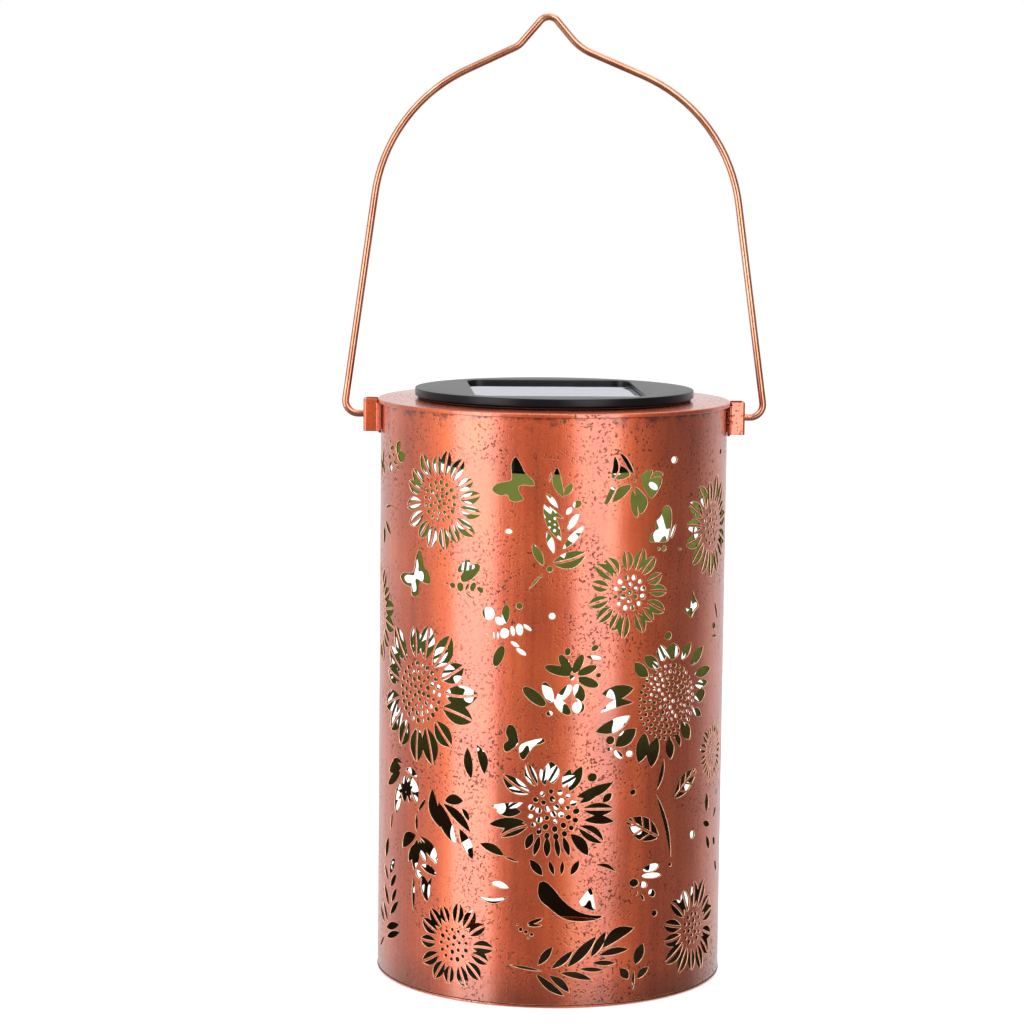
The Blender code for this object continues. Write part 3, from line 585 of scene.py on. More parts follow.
def rounded(
    corners: Sequence[Sequence[float]], radii: Sequence[float], steps: int = 6, closed: bool = False
) -> np.ndarray:
    """A polyline whose corners are replaced by arcs.

    Each arc runs between the points radius / tan(half angle) along both sides of its corner, round a
    centre on the bisector at radius / sin(half angle).

    Args:
        corners: the sharp corners, in two or three dimensions.
        radii: one radius for each corner; 0 keeps it sharp. An open line's ends are always kept.
        steps: spans along each arc.
        closed: whether the last corner joins the first.

    Returns:
        The rounded line's points.
    """
    points = np.asarray(corners, float)
    before, after = np.roll(points, 1, axis=0), np.roll(points, -1, axis=0)
    line = []
    for i, (corner, radius) in enumerate(zip(points, radii)):
        end = not closed and i in (0, len(points) - 1)
        if end or radius <= 0:
            line.append(corner[None])
            continue
        back, ahead = before[i] - corner, after[i] - corner
        back, ahead = back / np.linalg.norm(back), ahead / np.linalg.norm(ahead)
        half = math.acos(float(np.clip(back @ ahead, -1, 1))) / 2
        middle = corner + (back + ahead) / np.linalg.norm(back + ahead) * radius / math.sin(half)
        start, stop = corner + back * radius / math.tan(half), corner + ahead * radius / math.tan(half)
        part = np.linspace(0, 1, steps + 1)[:, None]
        ray = (start - middle) * (1 - part) + (stop - middle) * part
        line.append(middle + ray * radius / np.linalg.norm(ray, axis=1, keepdims=True))
    return np.vstack(line)


def loft(rings: np.ndarray, poles: Sequence[Sequence[float]] = ()) -> Mesh:
    """Skins rings of points, each ring closed on itself.

    Without poles the last ring joins the first, as on a hoop; a pole closes an end with a fan.

    Args:
        rings: (M, N, 3) points, every ring turning the same way.
        poles: none, or the closing points before the first ring and after the last.

    Returns:
        The closed mesh, faces outwards when rings turn counter-clockwise round the way they advance.
    """
    count, around = rings.shape[:2]
    hoop = not poles
    i, j = np.meshgrid(np.arange(count if hoop else count - 1), np.arange(around), indexing="ij")
    up, right = (i + 1) % count, (j + 1) % around
    quads = np.stack([i * around + j, i * around + right, up * around + right, up * around + j], -1)
    quads = quads.reshape(-1, 4)
    points = rings.reshape(-1, 3)
    if hoop:
        return points, [quads]
    j = np.arange(around)
    right, first, last = (j + 1) % around, count * around, count * around + 1
    low = np.stack([np.full(around, first), right, j], -1)
    base = (count - 1) * around
    high = np.stack([base + j, base + right, np.full(around, last)], -1)
    return np.vstack([points, poles[0], poles[1]]), [quads, low, high]


def polar_rings(radii: np.ndarray, heights: Sequence[float], angles: np.ndarray) -> np.ndarray:
    """Rings round Z: x = r cos a, y = r sin a.

    Args:
        radii: for each ring one radius, or one for each angle.
        heights: one for each ring.
        angles: round each ring.

    Returns:
        (M, N, 3) points.
    """
    r = np.broadcast_to(radii, (len(heights), len(angles)))
    z = np.broadcast_to(np.asarray(heights, float)[:, None], r.shape)
    return np.stack([r * np.cos(angles), r * np.sin(angles), z], -1)


def turned_piece(profile: np.ndarray, sides: int) -> Mesh:
    """Turns a profile round Z; one that starts and ends on the axis is closed by poles there.

    Args:
        profile: counter-clockwise (r, z) points.
        sides: round the turn.

    Returns:
        The closed mesh.
    """
    if profile[0, 0] > 0:
        return loft(polar_rings(profile[:, :1], profile[:, 1], full_turn(sides)))
    rings = polar_rings(profile[1:-1, :1], profile[1:-1, 1], full_turn(sides))
    return loft(rings, ((0, 0, profile[0, 1]), (0, 0, profile[-1, 1])))


def soft_box(low: Sequence[float], high: Sequence[float], radius: float, steps: int = 3) -> Mesh:
    """A box with rounded upright edges and eased top and bottom rims, as stacked rounded rectangles.

    Args:
        low: lowest corner.
        high: highest corner.
        radius: of the upright edges; the rims are eased by a third of it.
        steps: spans along each rounding.

    Returns:
        The closed mesh.
    """
    low, high = np.asarray(low, float), np.asarray(high, float)
    ease = radius / 3
    centre, half = (low + high) / 2, (high - low) / 2
    quarter = np.linspace(0, math.pi / 2, steps + 1)
    turn = np.concatenate([quarter + k * math.pi / 2 for k in range(4)])
    sx, sy = np.repeat([1, -1, -1, 1], steps + 1), np.repeat([1, 1, -1, -1], steps + 1)
    insets = np.array([ease, ease * 0.3, 0, 0, ease * 0.3, ease])
    lift = np.array([0, ease * 0.3, ease])
    heights = np.concatenate([low[2] + lift, high[2] - lift[::-1]])
    x = centre[0] + sx * (half[0] - radius) + (radius - insets[:, None]) * np.cos(turn)
    y = centre[1] + sy * (half[1] - radius) + (radius - insets[:, None]) * np.sin(turn)
    rings = np.stack([x, y, np.broadcast_to(heights[:, None], x.shape)], -1)
    return loft(rings, ((centre[0], centre[1], low[2]), (centre[0], centre[1], high[2])))


def turned_about_z(mesh: Mesh, degrees: float) -> Mesh:
    """The mesh turned about Z."""
    c, s = math.cos(math.radians(degrees)), math.sin(math.radians(degrees))
    return mesh[0] @ np.array([[c, s, 0], [-s, c, 0], [0, 0, 1]]), mesh[1]


# ------------------------------------------------------------------ cut sheet
def area(outline: Outline) -> float:
    """Signed area by the shoelace sum, positive when counter-clockwise."""
    x, y = outline[:, 0], outline[:, 1]
    return 0.5 * float(np.sum(x * np.roll(y, -1) - y * np.roll(x, -1)))


def largest_part(count: int, triangles: np.ndarray) -> np.ndarray:
    """Keeps the largest connected part; each point repeatedly takes the lowest label it touches.

    Args:
        count: number of points.
        triangles: all triangles.

    Returns:
        The triangles of that part.
    """
    label = np.arange(count)
    while True:
        lowest = label[triangles].min(axis=1)
        after = label.copy()
        np.minimum.at(after, triangles.ravel(), np.repeat(lowest, 3))
        after = after[after]
        if (after == label).all():
            break
        label = after
    names, sizes = np.unique(label[triangles[:, 0]], return_counts=True)
    return triangles[label[triangles[:, 0]] == names[sizes.argmax()]]


def rectangle_edge(u: np.ndarray, z: np.ndarray) -> Outline:
    """The edge of a flat rectangular blank.

    Args:
        u: its points along the long sides.
        z: its points along the short sides.

    Returns:
        Both long sides, then the short ones between them.
    """
    inner = z[1:-1]
    along = [np.column_stack([u, np.full_like(u, end)]) for end in (z[0], z[-1])]
    upright = [np.column_stack([np.full_like(inner, end), inner]) for end in (u[0], u[-1])]
    return np.vstack(along + upright)


def cut_sheet(
    blank: Outline, openings: Sequence[Outline], loose: np.ndarray, clear: float
) -> tuple[np.ndarray, np.ndarray]:
    """Triangulates a convex blank and leaves its openings out.

    Args:
        blank: points of the blank's convex edge.
        openings: closed outlines, either way round; where two overlap they become one opening.
        loose: points to spread through the sheet, dropped where an outline is nearer than clear.
        clear: that distance in mm.

    Returns:
        Points (V, 2) and counter-clockwise triangles (T, 3).
    """
    openings = [shape if area(shape) > 0 else shape[::-1] for shape in openings]
    corners = np.vstack([blank, *openings])
    batches = np.array_split(loose, 1 + len(loose) // 64)
    near = [np.hypot(*(corners[None] - batch[:, None]).transpose(2, 0, 1)).min(axis=1) for batch in batches]
    loose = loose[np.concatenate(near) > clear]
    sizes = [len(shape) for shape in openings]
    starts = np.cumsum([len(blank) + len(loose), *sizes])
    points = np.vstack([blank, loose, *openings])
    rings = [list(range(a, a + n)) for a, n in zip(starts, sizes)]
    vectors = [Vector(point) for point in points.tolist()]
    corners, _, faces, _, _, sources = delaunay_2d_cdt(vectors, [], rings, 0, 1e-6)
    kept = np.array([face for face, source in zip(faces, sources) if not source])
    flat = np.array([tuple(p) for p in corners])
    kept = largest_part(len(flat), kept)
    used, kept = np.unique(kept, return_inverse=True)
    return flat[used], kept.reshape(-1, 3)


def thicken(
    flat: np.ndarray, triangles: np.ndarray, place: Place, depth: float, ease: float
) -> tuple[Mesh, np.ndarray]:
    """Gives a cut sheet its thickness, with an eased outer rim round every opening.

    The outer face lies at depth 0. At each edge the rim steps into the opening by ease while it sinks
    by ease, then runs straight down to the inner face.

    Args:
        flat: the sheet's points.
        triangles: its triangles.
        place: puts flat points at given depths into space.
        depth: the sheet's thickness.
        ease: size of the eased rim.

    Returns:
        The mesh in four blocks, outer face, inner face, eased rims and walls, and a normal for each face
        corner.
    """
    edges = np.vstack([triangles[:, [0, 1]], triangles[:, [1, 2]], triangles[:, [2, 0]]])
    count = len(flat)
    key, reverse = edges[:, 0] * count + edges[:, 1], edges[:, 1] * count + edges[:, 0]
    rim = edges[~np.isin(key, reverse)]
    along = flat[rim[:, 1]] - flat[rim[:, 0]]
    along /= np.linalg.norm(along, axis=1, keepdims=True)
    out = np.column_stack([along[:, 1], -along[:, 0]])
    push = np.zeros_like(flat)
    np.add.at(push, rim[:, 0], out)
    np.add.at(push, rim[:, 1], out)
    length = np.linalg.norm(push, axis=1, keepdims=True)
    push = np.divide(push, length, out=np.zeros_like(push), where=length > 1e-9)
    moved = flat + push * ease
    zero, nudge = np.zeros(count), 0.01
    top, lip, low = place(flat, zero), place(moved, zero + ease), place(moved, zero + depth)
    face_up = unit(top - place(flat, zero + nudge))
    sideways = unit(place(flat + push * nudge, zero) - top)
    bevel = unit(face_up + sideways)
    a, b = rim[:, 0], rim[:, 1]
    slope = np.column_stack([b, a, a + count, b + count])
    blocks = [triangles, triangles[:, ::-1] + 2 * count, slope, slope + count]
    facing = np.column_stack([b, a, a, b]).ravel()
    outer, inner = face_up[triangles.ravel()], -face_up[triangles[:, ::-1].ravel()]
    normals = np.vstack([outer, inner, bevel[facing], sideways[facing]])
    return (np.vstack([top, lip, low]), blocks), normals


def unit(vectors: np.ndarray) -> np.ndarray:
    """Vectors scaled to length 1; a zero vector points up."""
    length = np.linalg.norm(vectors, axis=1, keepdims=True)
    return np.where(length > 1e-12, vectors / np.maximum(length, 1e-12), (0.0, 0.0, 1.0))


def circle(u: float, z: float, radius: float, sides: int, squash: float = 1.0, turn: float = 0.0) -> Outline:
    """An ellipse round (u, z): radius along its turned first axis and radius * squash across it."""
    a = full_turn(sides)
    return spun(np.column_stack([radius * np.cos(a), radius * squash * np.sin(a)]), u, z, 1.0, turn)


def spun(points: Sequence, u: float, z: float, size: float, degrees: float) -> Outline:
    """A unit shape scaled, turned about its centre and moved to (u, z)."""
    c, s = math.cos(math.radians(degrees)), math.sin(math.radians(degrees))
    return np.asarray(points, float) @ np.array([[c, s], [-s, c]]) * size + (u, z)


def softened(points: Sequence) -> Outline:
    """A closed outline with its corners cut twice, at a quarter and three quarters of each side.

    Args:
        points: its sharp corners.

    Returns:
        Four times as many points.
    """
    line = np.asarray(points, float)
    for _ in range(2):
        ahead = np.roll(line, -1, axis=0)
        line = np.stack([0.75 * line + 0.25 * ahead, 0.25 * line + 0.75 * ahead], 1).reshape(-1, 2)
    return line


# ------------------------------------------------------------------ garden pattern
class Cut(Enum):
    """How a leaf or petal is cut out of the sheet."""

    PLAIN = "one opening"
    SPLIT = "two halves beside a rib"
    VEINED = "panels between a rib and side veins"


@dataclass(frozen=True)
class Blade:
    """A leaf or petal between two points of the flat sheet, widest at its belly and bowed sideways."""

    root: tuple[float, float]
    tip: tuple[float, float]
    width: float
    bow: float = 0.0
    belly: float = 0.55
    rib: float = 0.6
    vein: float = 0.55

    def at(self, t: np.ndarray, offset: np.ndarray) -> np.ndarray:
        """Points beside the midrib: root + t d + (offset + bow sin pi t) n.

        Args:
            t: shares of the way to the tip.
            offset: distances to the left of the midrib.

        Returns:
            The points on the flat sheet.
        """
        root, along = np.asarray(self.root, float), np.subtract(self.tip, self.root)
        side = np.array([-along[1], along[0]]) / np.linalg.norm(along)
        return root + t[:, None] * along + (offset + self.bow * np.sin(math.pi * t))[:, None] * side

    def half_width(self, t: np.ndarray) -> np.ndarray:
        """Half the width at t: width / 2 sin(pi t^k)^0.75, with k placing the widest point at the belly."""
        k = math.log(0.5) / math.log(self.belly)
        return self.width / 2 * np.sin(math.pi * np.clip(t, 0, 1) ** k).clip(0) ** 0.75

    def cut(self, how: Cut, steps: int = 9, panels: int = 4) -> list[Outline]:
        """The openings of this blade.

        Args:
            how: whole, in two halves, or in panels.
            steps: spans along each flank.
            panels: panels on each side of a veined leaf.

        Returns:
            Closed outlines.
        """
        t = np.linspace(0, 1, steps + 1)
        if how is Cut.PLAIN:
            left, right = self.at(t, self.half_width(t)), self.at(t, -self.half_width(t))
            return [np.vstack([left, right[-2:0:-1]])]
        length = float(np.hypot(*np.subtract(self.tip, self.root)))
        half = self.rib / 2
        count = panels if how is Cut.VEINED else 1
        vein = self.vein / length
        slant = min(0.16, 0.9 * self.width / length * 0.5)
        stops = np.linspace(0.04, 0.97, count + 1)
        found = []
        for sign in (1.0, -1.0):
            for k in range(count):
                first, last = k == 0, k == count - 1
                t0, t1 = stops[k] + (0 if first else vein / 2), stops[k + 1] - (0 if last else vein / 2)
                f0, f1 = t0 + (0 if first else slant), t1 + (0 if last else slant)
                flank = np.linspace(f0, min(f1, 0.985), max(4, steps // count + 2))
                outer = np.maximum(self.half_width(flank), half + 0.06)
                inner = np.linspace(t1, t0, 3 if count > 1 else 5)
                beside_rib = self.at(inner, np.full(len(inner), sign * half))
                found.append(np.vstack([self.at(flank, sign * outer), beside_rib]))
        return found


@dataclass
class GardenPattern:
    """Sunflowers, leaves, butterflies and bees laid out on the unrolled sheet: u round the drum, z up.

    u is measured at the sheet's face from the front line to the right; the rear side lies near -170.
    """

    # u, z, seed disc radius, petal tip radius, petals, turn, seed size, seed rings, how the petals are cut
    sunflowers: tuple = (
        (-37.7, 152.3, 6.9, 16.6, 16, 8, 0.84, 3, Cut.SPLIT),
        (23.4, 126.2, 6, 14.6, 15, 0, 0.98, 2, Cut.SPLIT),
        (60, 143.3, 6.2, 17, 15, 5, 0.86, 2, Cut.SPLIT),
        (-46, 93, 10, 23.4, 15, 3, 0.92, 4, Cut.SPLIT),
        (-31, 17, 5.8, 14.8, 14, 4, 0.86, 2, Cut.SPLIT),
        (52, 19.5, 5.6, 16.2, 14, 12, 0.84, 2, Cut.SPLIT),
        (64, 73, 4, 10.2, 13, 0, 0.60, 1, Cut.SPLIT),
        (-78, 114, 8, 18, 15, 10, 0.55, 3, Cut.SPLIT),
        (88, 112, 3, 7.6, 11, 0, 0.60, 1, Cut.PLAIN),
        (-97, 31, 4.6, 11.5, 13, 0, 0.60, 2, Cut.SPLIT),
        (-128.8, 142.8, 6.6, 17.2, 15, 0, 0.70, 3, Cut.SPLIT),
        (-171, 134, 3, 12, 12, 9, 0.70, 1, Cut.PLAIN),
        (-225.5, 141, 2.8, 9.4, 11, 0, 0.70, 0, Cut.PLAIN),
        (-115.6, 88, 10, 22, 16, 4, 0.80, 4, Cut.SPLIT),
        (-167.7, 43.9, 2.8, 13.4, 12, 5, 0.80, 1, Cut.SPLIT),
        (-217.8, 84, 2, 16.4, 13, 0, 0.80, 0, Cut.SPLIT),
        (-113.4, 49.2, 2.2, 9.6, 10, 0, 0.60, 0, Cut.PLAIN),
        (-125.5, 19.4, 2.2, 10.6, 11, 7, 0.60, 0, Cut.PLAIN),
        (-184, 154, 4.6, 11.6, 13, 0, 0.60, 2, Cut.SPLIT),
        (-197, 112.4, 1.6, 7.6, 8, 0, 0.60, 0, Cut.PLAIN),
    )
    # u, z, radius and number of rings of seed holes without petals of their own
    seed_discs: tuple = ((0.6, 59.6, 8.3, 3, 1.08), (38.5, 91.8, 12.2, 6, 0.74))
    # root u, root z, tip u, tip z, width and, where it bends, the sideways bow of whole openings
    plain: tuple = (
        # petals of the large right flower
        (25.5, 97.2, 14.8, 96, 4.5, 0.4), (25.5, 92.8, 14.3, 90, 2.7, -1.4),
        (24.4, 88.8, 13, 84.4, 4.3, 0.6), (26.4, 84.8, 19.4, 79.6, 4.7), (29.4, 83.4, 27.4, 74, 4.9, 0.4),
        (34.2, 81.6, 32, 72.2, 4.8, -0.5), (38.8, 80.8, 39.8, 73.8, 3.8), (41.4, 81.6, 44, 77.4, 2.2, 0.4),
        (44, 84.6, 48.6, 79, 4.5, 0.3), (49.8, 88.4, 55.2, 85.4, 2.7), (50.6, 91.4, 57.6, 92.4, 4.5),
        (51, 95.4, 59, 95.4, 2.9), (50.4, 98.8, 61, 99.4, 3.6), (48, 102, 55.6, 107, 4),
        (43.8, 104, 48.4, 109.2, 3.4), (39.6, 104.4, 40.2, 109.8, 6), (36.2, 104.4, 34.6, 109.6, 4.3),
        (34.4, 102.6, 28.8, 106.6, 3.8), (30.6, 100.2, 25.4, 105, 3.8, 0.4),
        # petals of the middle flower
        (-1.9, 68.2, -3.4, 73.4, 2.2), (0.3, 68.8, -0.4, 75.8, 4.9), (3.4, 67.6, 5.6, 73.4, 2.8),
        (5.2, 66.4, 9.1, 74.2, 3.6), (7.4, 64.8, 19, 68.8, 3.4, -0.5), (8.4, 62.8, 14.4, 66, 2.1),
        (15.6, 62.8, 18.6, 65.6, 2.5), (9.8, 57.6, 19.5, 56.8, 2.9, 0.4), (5.8, 53.6, 11.4, 46.6, 3.6, 0.5),
        (3.6, 52.8, 5.6, 46.6, 2.1), (1.4, 52.6, 2.4, 46.2, 1.9), (-1.2, 52.6, -1.2, 46.2, 2.4),
        (-3.4, 53, -5.2, 46.6, 2.1), (-5.6, 53.8, -7.6, 48.6, 2.6), (-8, 57.2, -19.2, 55.6, 3.4),
        (-9, 60, -17, 59.8, 3.4), (-8.6, 62.8, -18.8, 61.2, 2.7, 0.8),
        # calyx, and the large leaves under the middle flower
        (-6.4, 45.6, -2.4, 40.6, 2.8), (-0.6, 45.4, 1, 40.8, 1.7), (3.6, 45.4, 3.2, 40.8, 1.5),
        (8.6, 45.4, 6, 40.8, 2.2), (-22.2, 49.4, -14.2, 46.2, 2.9, 0.5), (-14.2, 46, -9.6, 44.6, 0.9),
        (-22.6, 33.2, -12.8, 33.9, 1.7, -1.5), (-18.6, 37.6, -12.6, 36.4, 2.2, 0.3),
        (13.6, 43.8, 20.4, 41.2, 1.4, 0.8),
        # spray at the top
        (2.4, 155.2, 0.4, 164.4, 3, 0.9), (0.9, 152, -2.9, 156.6, 1.8), (2.6, 149, -1.8, 152.6, 1.5, 0.6),
        (1.9, 142.2, -3.4, 153.2, 3.5, 0.2), (-0.2, 138.4, -2.4, 145.2, 2.3),
        (-3.2, 134.6, -6.7, 141.4, 2.7), (2.7, 155.6, 5.1, 159.6, 2.3), (3.3, 150, 5, 152.4, 1.7),
        (3.6, 145.2, 7.3, 150.8, 2.2), (2.3, 139.6, 8.9, 146.9, 2.5), (-3.5, 132.4, -7.7, 127.4, 0.8),
        (-1.9, 159.6, -1.2, 162.8, 0.7),
        # bottom spray and the small plant beside it
        (-2, 11.3, -12.6, 12.9, 1.1), (-3.6, 13, 0.8, 18.9, 2.6), (0.4, 12, 7.1, 17.7, 2.4, -0.3),
        (5.3, 12.4, 14.3, 21.8, 3.3), (12.6, 15.3, 17.4, 23.2, 2.7), (16.2, 18, 26.8, 23.4, 4, 1.5),
        (15, 15.8, 25, 17, 2.4, 0.4), (13, 13.6, 20.7, 13.1, 1.8), (9, 11.9, 16.9, 11.2, 1.6),
        (3, 10.8, 13.2, 8.3, 2.2, 0.4), (-0.2, 10, 6.2, 4.6, 2.6, 0.5), (-4.2, 10.4, 4.6, 3.6, 2.5, -0.4),
        (27.2, 11.8, 29.9, 18.4, 3.7), (25.1, 7.7, 22, 11.3, 3), (27.9, 7.4, 32.2, 10.6, 2.6, 0.3),
        (26.5, 3.9, 26.8, 10.4, 1.1),
        # spray at the left edge
        (-67, 37.6, -64.2, 44.8, 3.2), (-63.4, 33.2, -58.9, 39.4, 3), (-62.6, 29.2, -57.9, 34.2, 2.5),
        (-61.6, 24.6, -57.6, 29.9, 2.2), (-62.6, 20.4, -56.4, 26.1, 2.3), (-66, 15.6, -56, 18.7, 2.7),
        (-65.6, 12.7, -55.6, 16.3, 2.4), (-64, 30.8, -68.3, 35.4, 2.3), (-63.4, 22.8, -68.2, 29.2, 2.8),
        (-64.4, 17.8, -69.4, 23.4, 2.5), (-67.4, 16.8, -74.4, 21.2, 2.4), (-67.4, 12.6, -74.4, 7.4, 1.4),
        # stems
        (36.9, 74.6, 34.2, 65, 1.7, 0.5), (33.9, 64, 40.5, 43.4, 1.7, 1), (-46.7, 55.4, -46.6, 49.6, 1.4),
        (-45.9, 56.2, -42.4, 60.6, 1.4), (-48, 35.8, -47.9, 24.4, 1.5), (-61, 53.4, -62.4, 47, 1.5),
        # heart leaf
        (-46.9, 48.6, -54.2, 43.4, 4.2, -1), (-47.4, 45.8, -50.6, 39.6, 2.8), (-46.4, 47.4, -47.8, 37.4, 4),
        (-45.6, 47, -41.8, 40.8, 3.1), (-45.4, 48.6, -36.9, 41.4, 2.2, 1.6),
        (-45, 47.6, -37.2, 40.6, 2.1, 0.3), (-44.6, 39.6, -37.4, 37.6, 2.8, 0.4),
        (-47.2, 37.6, -43.6, 35.6, 2.6), (-43.6, 36.6, -41.6, 28.6, 4, 0.3),
        (-39.6, 36.8, -41.2, 30.6, 1.6, -0.5),
        # leaf below the left flower
        (-39.8, 64.2, -36.2, 52.4, 4.2, -1.2), (-37.2, 60.4, -30.4, 48.2, 4.6, -0.5),
        (-35.4, 60.2, -25.2, 52.4, 3.2, 0.8), (-34.8, 61, -27.8, 61.8, 3.5, 0.5),
        (-28.4, 59.6, -25.8, 55.8, 1.9, 0.3), (-29.2, 53.2, -24.4, 44, 3.5, 0.3),
        (-23.4, 79.6, -20.8, 70.6, 3.3, 0.8), (-26.6, 78.4, -25.2, 68.8, 3.3, -0.4),
        # leaf at the left edge
        (-54.4, 69.4, -61.4, 69.4, 1.6, -0.7), (-55.2, 68.2, -64.2, 65.4, 4, -0.8),
        (-55.6, 66.8, -65.4, 61, 3.2), (-56, 63.6, -58.6, 53, 4.1), (-53.4, 66.6, -53.2, 57.4, 4.2),
        (-51.4, 66.4, -50.2, 57.8, 2.8), (-52.6, 68.2, -46.2, 66.6, 2.5, 0.5),
        (-50, 66.6, -46.6, 58.4, 3.8, 0.6),
        # right edge
        (60.2, 54.2, 60, 60.8, 3.1), (57.4, 51.6, 63, 49.8, 2.2), (60, 47, 63.2, 42.2, 2.6),
        (66, 45.2, 69, 42.6, 2.6), (68.4, 37.6, 71.8, 33.6, 2.4), (66, 51.4, 69.6, 54.6, 2.2),
        (63.6, 120, 67.2, 113.6, 1.9), (61.6, 112.6, 65.4, 112, 2.2), (61.8, 109.2, 66.4, 108.8, 1.2),
        (84, 64, 86, 54, 3.6), (86.4, 54, 92, 47, 3), (84.6, 52.4, 79.6, 46.2, 3),
        # left edge, high up
        (-69.6, 143, -63.6, 139.4, 2.3), (-69.4, 147, -62.6, 148.4, 1.1, 0.3), (-71, 135.4, -71, 141.4, 3.6),
        (-59.8, 164.8, -57.2, 169, 3.1), (-59.2, 164, -53.6, 164.4, 3.8), (-65.2, 165.8, -61.4, 166.6, 1.6),
        (-67.4, 163, -64, 163.4, 1.6), (-63.4, 164.4, -61.2, 164.2, 1.1), (-66.4, 160.2, -62.8, 160.2, 3.4),
        (-63, 162.2, -58.6, 161.6, 1), (-61.2, 160.8, -56.2, 160, 0.7), (-65.8, 168, -64.2, 168, 1.2),
        # rear
        (-160, 10, -150, 15, 3), (-156, 8, -146, 9.4, 2.4), (-152, 6.4, -142, 4.6, 2),
        (-150, 74, -145, 66, 3), (-182, 96, -176, 88, 3), (-183, 92, -190, 86, 3),
        (-96, 152, -104, 158, 3.6), (-96, 150, -104, 146, 3.6), (-94, 66, -88, 58, 3),
    )
    # the same for openings split beside a rib
    split: tuple = (
        (-6.4, 65.6, -15.2, 71.2, 4.6, 0.6), (-4.4, 67.8, -7.8, 75.2, 3.6, 0.4), (9.2, 61, 19.6, 60.6, 4.2),
        (8, 55.8, 16.2, 50.4, 4.8, 0.4), (-6.8, 56, -15.8, 52, 3.8, -0.5),
        (-0.8, 135.4, 9.6, 138.6, 5.2, -0.6),
    )
    # and for leaves with side veins
    veined: tuple = ((35.4, 50.4, 23.4, 57, 7.2, 0), (41.4, 61.6, 52.6, 69.2, 5.8, 0.4))
    # closed outlines, clockwise or not, softened as they are cut: butterflies and broad leaves
    outlines: tuple = (
        ((-12.2, 167.8), (-10.2, 165), (-9.4, 162.8), (-7.8, 161.4), (-5.8, 159.2), (-6.8, 158.3),
         (-9.5, 158.8), (-11.2, 158.2), (-10.6, 156.4), (-9.2, 154.6), (-10.2, 153.8), (-12.5, 153.4),
         (-14, 154.2), (-14.4, 155.8), (-16.4, 155), (-18.6, 156), (-19.6, 157.2), (-17.8, 159),
         (-15, 159.6), (-13.2, 160), (-13.2, 162), (-13.6, 164.8)),
        ((-46.3, 137.6), (-44.5, 134.5), (-44, 131.6), (-42.3, 131), (-41, 128.2), (-41.4, 126.6),
         (-43.4, 126.6), (-45.7, 127.4), (-46.6, 125.3), (-46.2, 123), (-48.5, 121.9), (-50.2, 122.4),
         (-50, 125), (-52.6, 124.9), (-55.4, 125.8), (-56.8, 127.4), (-55, 128.9), (-51.5, 129.1),
         (-49.4, 129.4), (-48.4, 131.3), (-48.2, 134)),
        ((-12.9, 86.8), (-11, 85.8), (-10.2, 82.4), (-10, 80.8), (-11.4, 79.4), (-13.8, 77.6), (-15, 78.8),
         (-14.8, 80.8), (-13.2, 81.6), (-14.4, 83.6), (-14, 85.6)),
        ((-10, 80.3), (-8.2, 81.4), (-3, 82.9), (-1.8, 81.8), (-3.2, 80.8), (-5.4, 80.4), (-6.8, 78.3),
         (-8.4, 75.5), (-9.8, 76.4), (-10.2, 78.6)),
        ((36.2, 152.2), (38.2, 151), (38.7, 148.4), (38.5, 145.4), (37.5, 141.4), (36.4, 140.6),
         (32.4, 140.9), (30, 141), (29.8, 143.3), (32.4, 144.6), (31.8, 147), (34.4, 148.8), (34.4, 150.8)),
        ((48.7, 125.6), (49.7, 123), (52.8, 119.8), (50.6, 118.8), (49.2, 117.8), (48.4, 116.2), (46, 118),
         (43.8, 119.2), (45.2, 120.2), (47.6, 119), (48, 121.4)),
        ((-4, 38.4), (-1.8, 39.4), (0.9, 37), (4, 32.9), (8, 29.8), (12.5, 28.3), (17, 28.2), (14.5, 26.7),
         (9, 26.3), (4, 27.1), (-0.7, 30.9), (-3.8, 33.4)),
        ((12.4, 37.8), (13.4, 33.6), (14.2, 29.4), (11.6, 30), (8, 32), (9.6, 34)),
        # veined butterfly: slits and cells of its four wings
        ((18.9, 168.9), (21.7, 167.3), (24.1, 163.6), (24.5, 161.3), (23.4, 162.1), (21.2, 165.2)),
        ((17.7, 167.9), (19, 166.2), (19.6, 163.5), (17.8, 160.3), (16.7, 160.6), (17.3, 163.8)),
        ((19.6, 164.8), (21.8, 163.9), (23.5, 161.6), (21.4, 160.5), (18.1, 160), (19.3, 162.3)),
        ((16.8, 158.6), (18.9, 158), (17.6, 155.7), (16.3, 153.1), (14.5, 152.8), (15.7, 155.9)),
        ((19, 158.3), (23.6, 159.1), (23.2, 157.1), (20.2, 154.4), (17.1, 153.2), (17.9, 155.7)),
        ((26, 161), (29.5, 163.3), (31.2, 162.5), (29.8, 160), (27.4, 159.4)),
        ((31.7, 162.8), (35, 161.8), (34.5, 160.6), (30.4, 160.7)),
        ((26.2, 159.9), (29.4, 160.4), (34.5, 160.8), (34.3, 158.2), (31.6, 154.7), (30.1, 154),
         (28.2, 156.8)),
        ((24.2, 158.5), (26.3, 157.3), (29.6, 154), (28.7, 151.1), (26.4, 149.2), (25.6, 152.4)),
        ((24.1, 158), (25.6, 153.1), (26.2, 148.1), (23.9, 149.7), (22.8, 154.5)),
    )
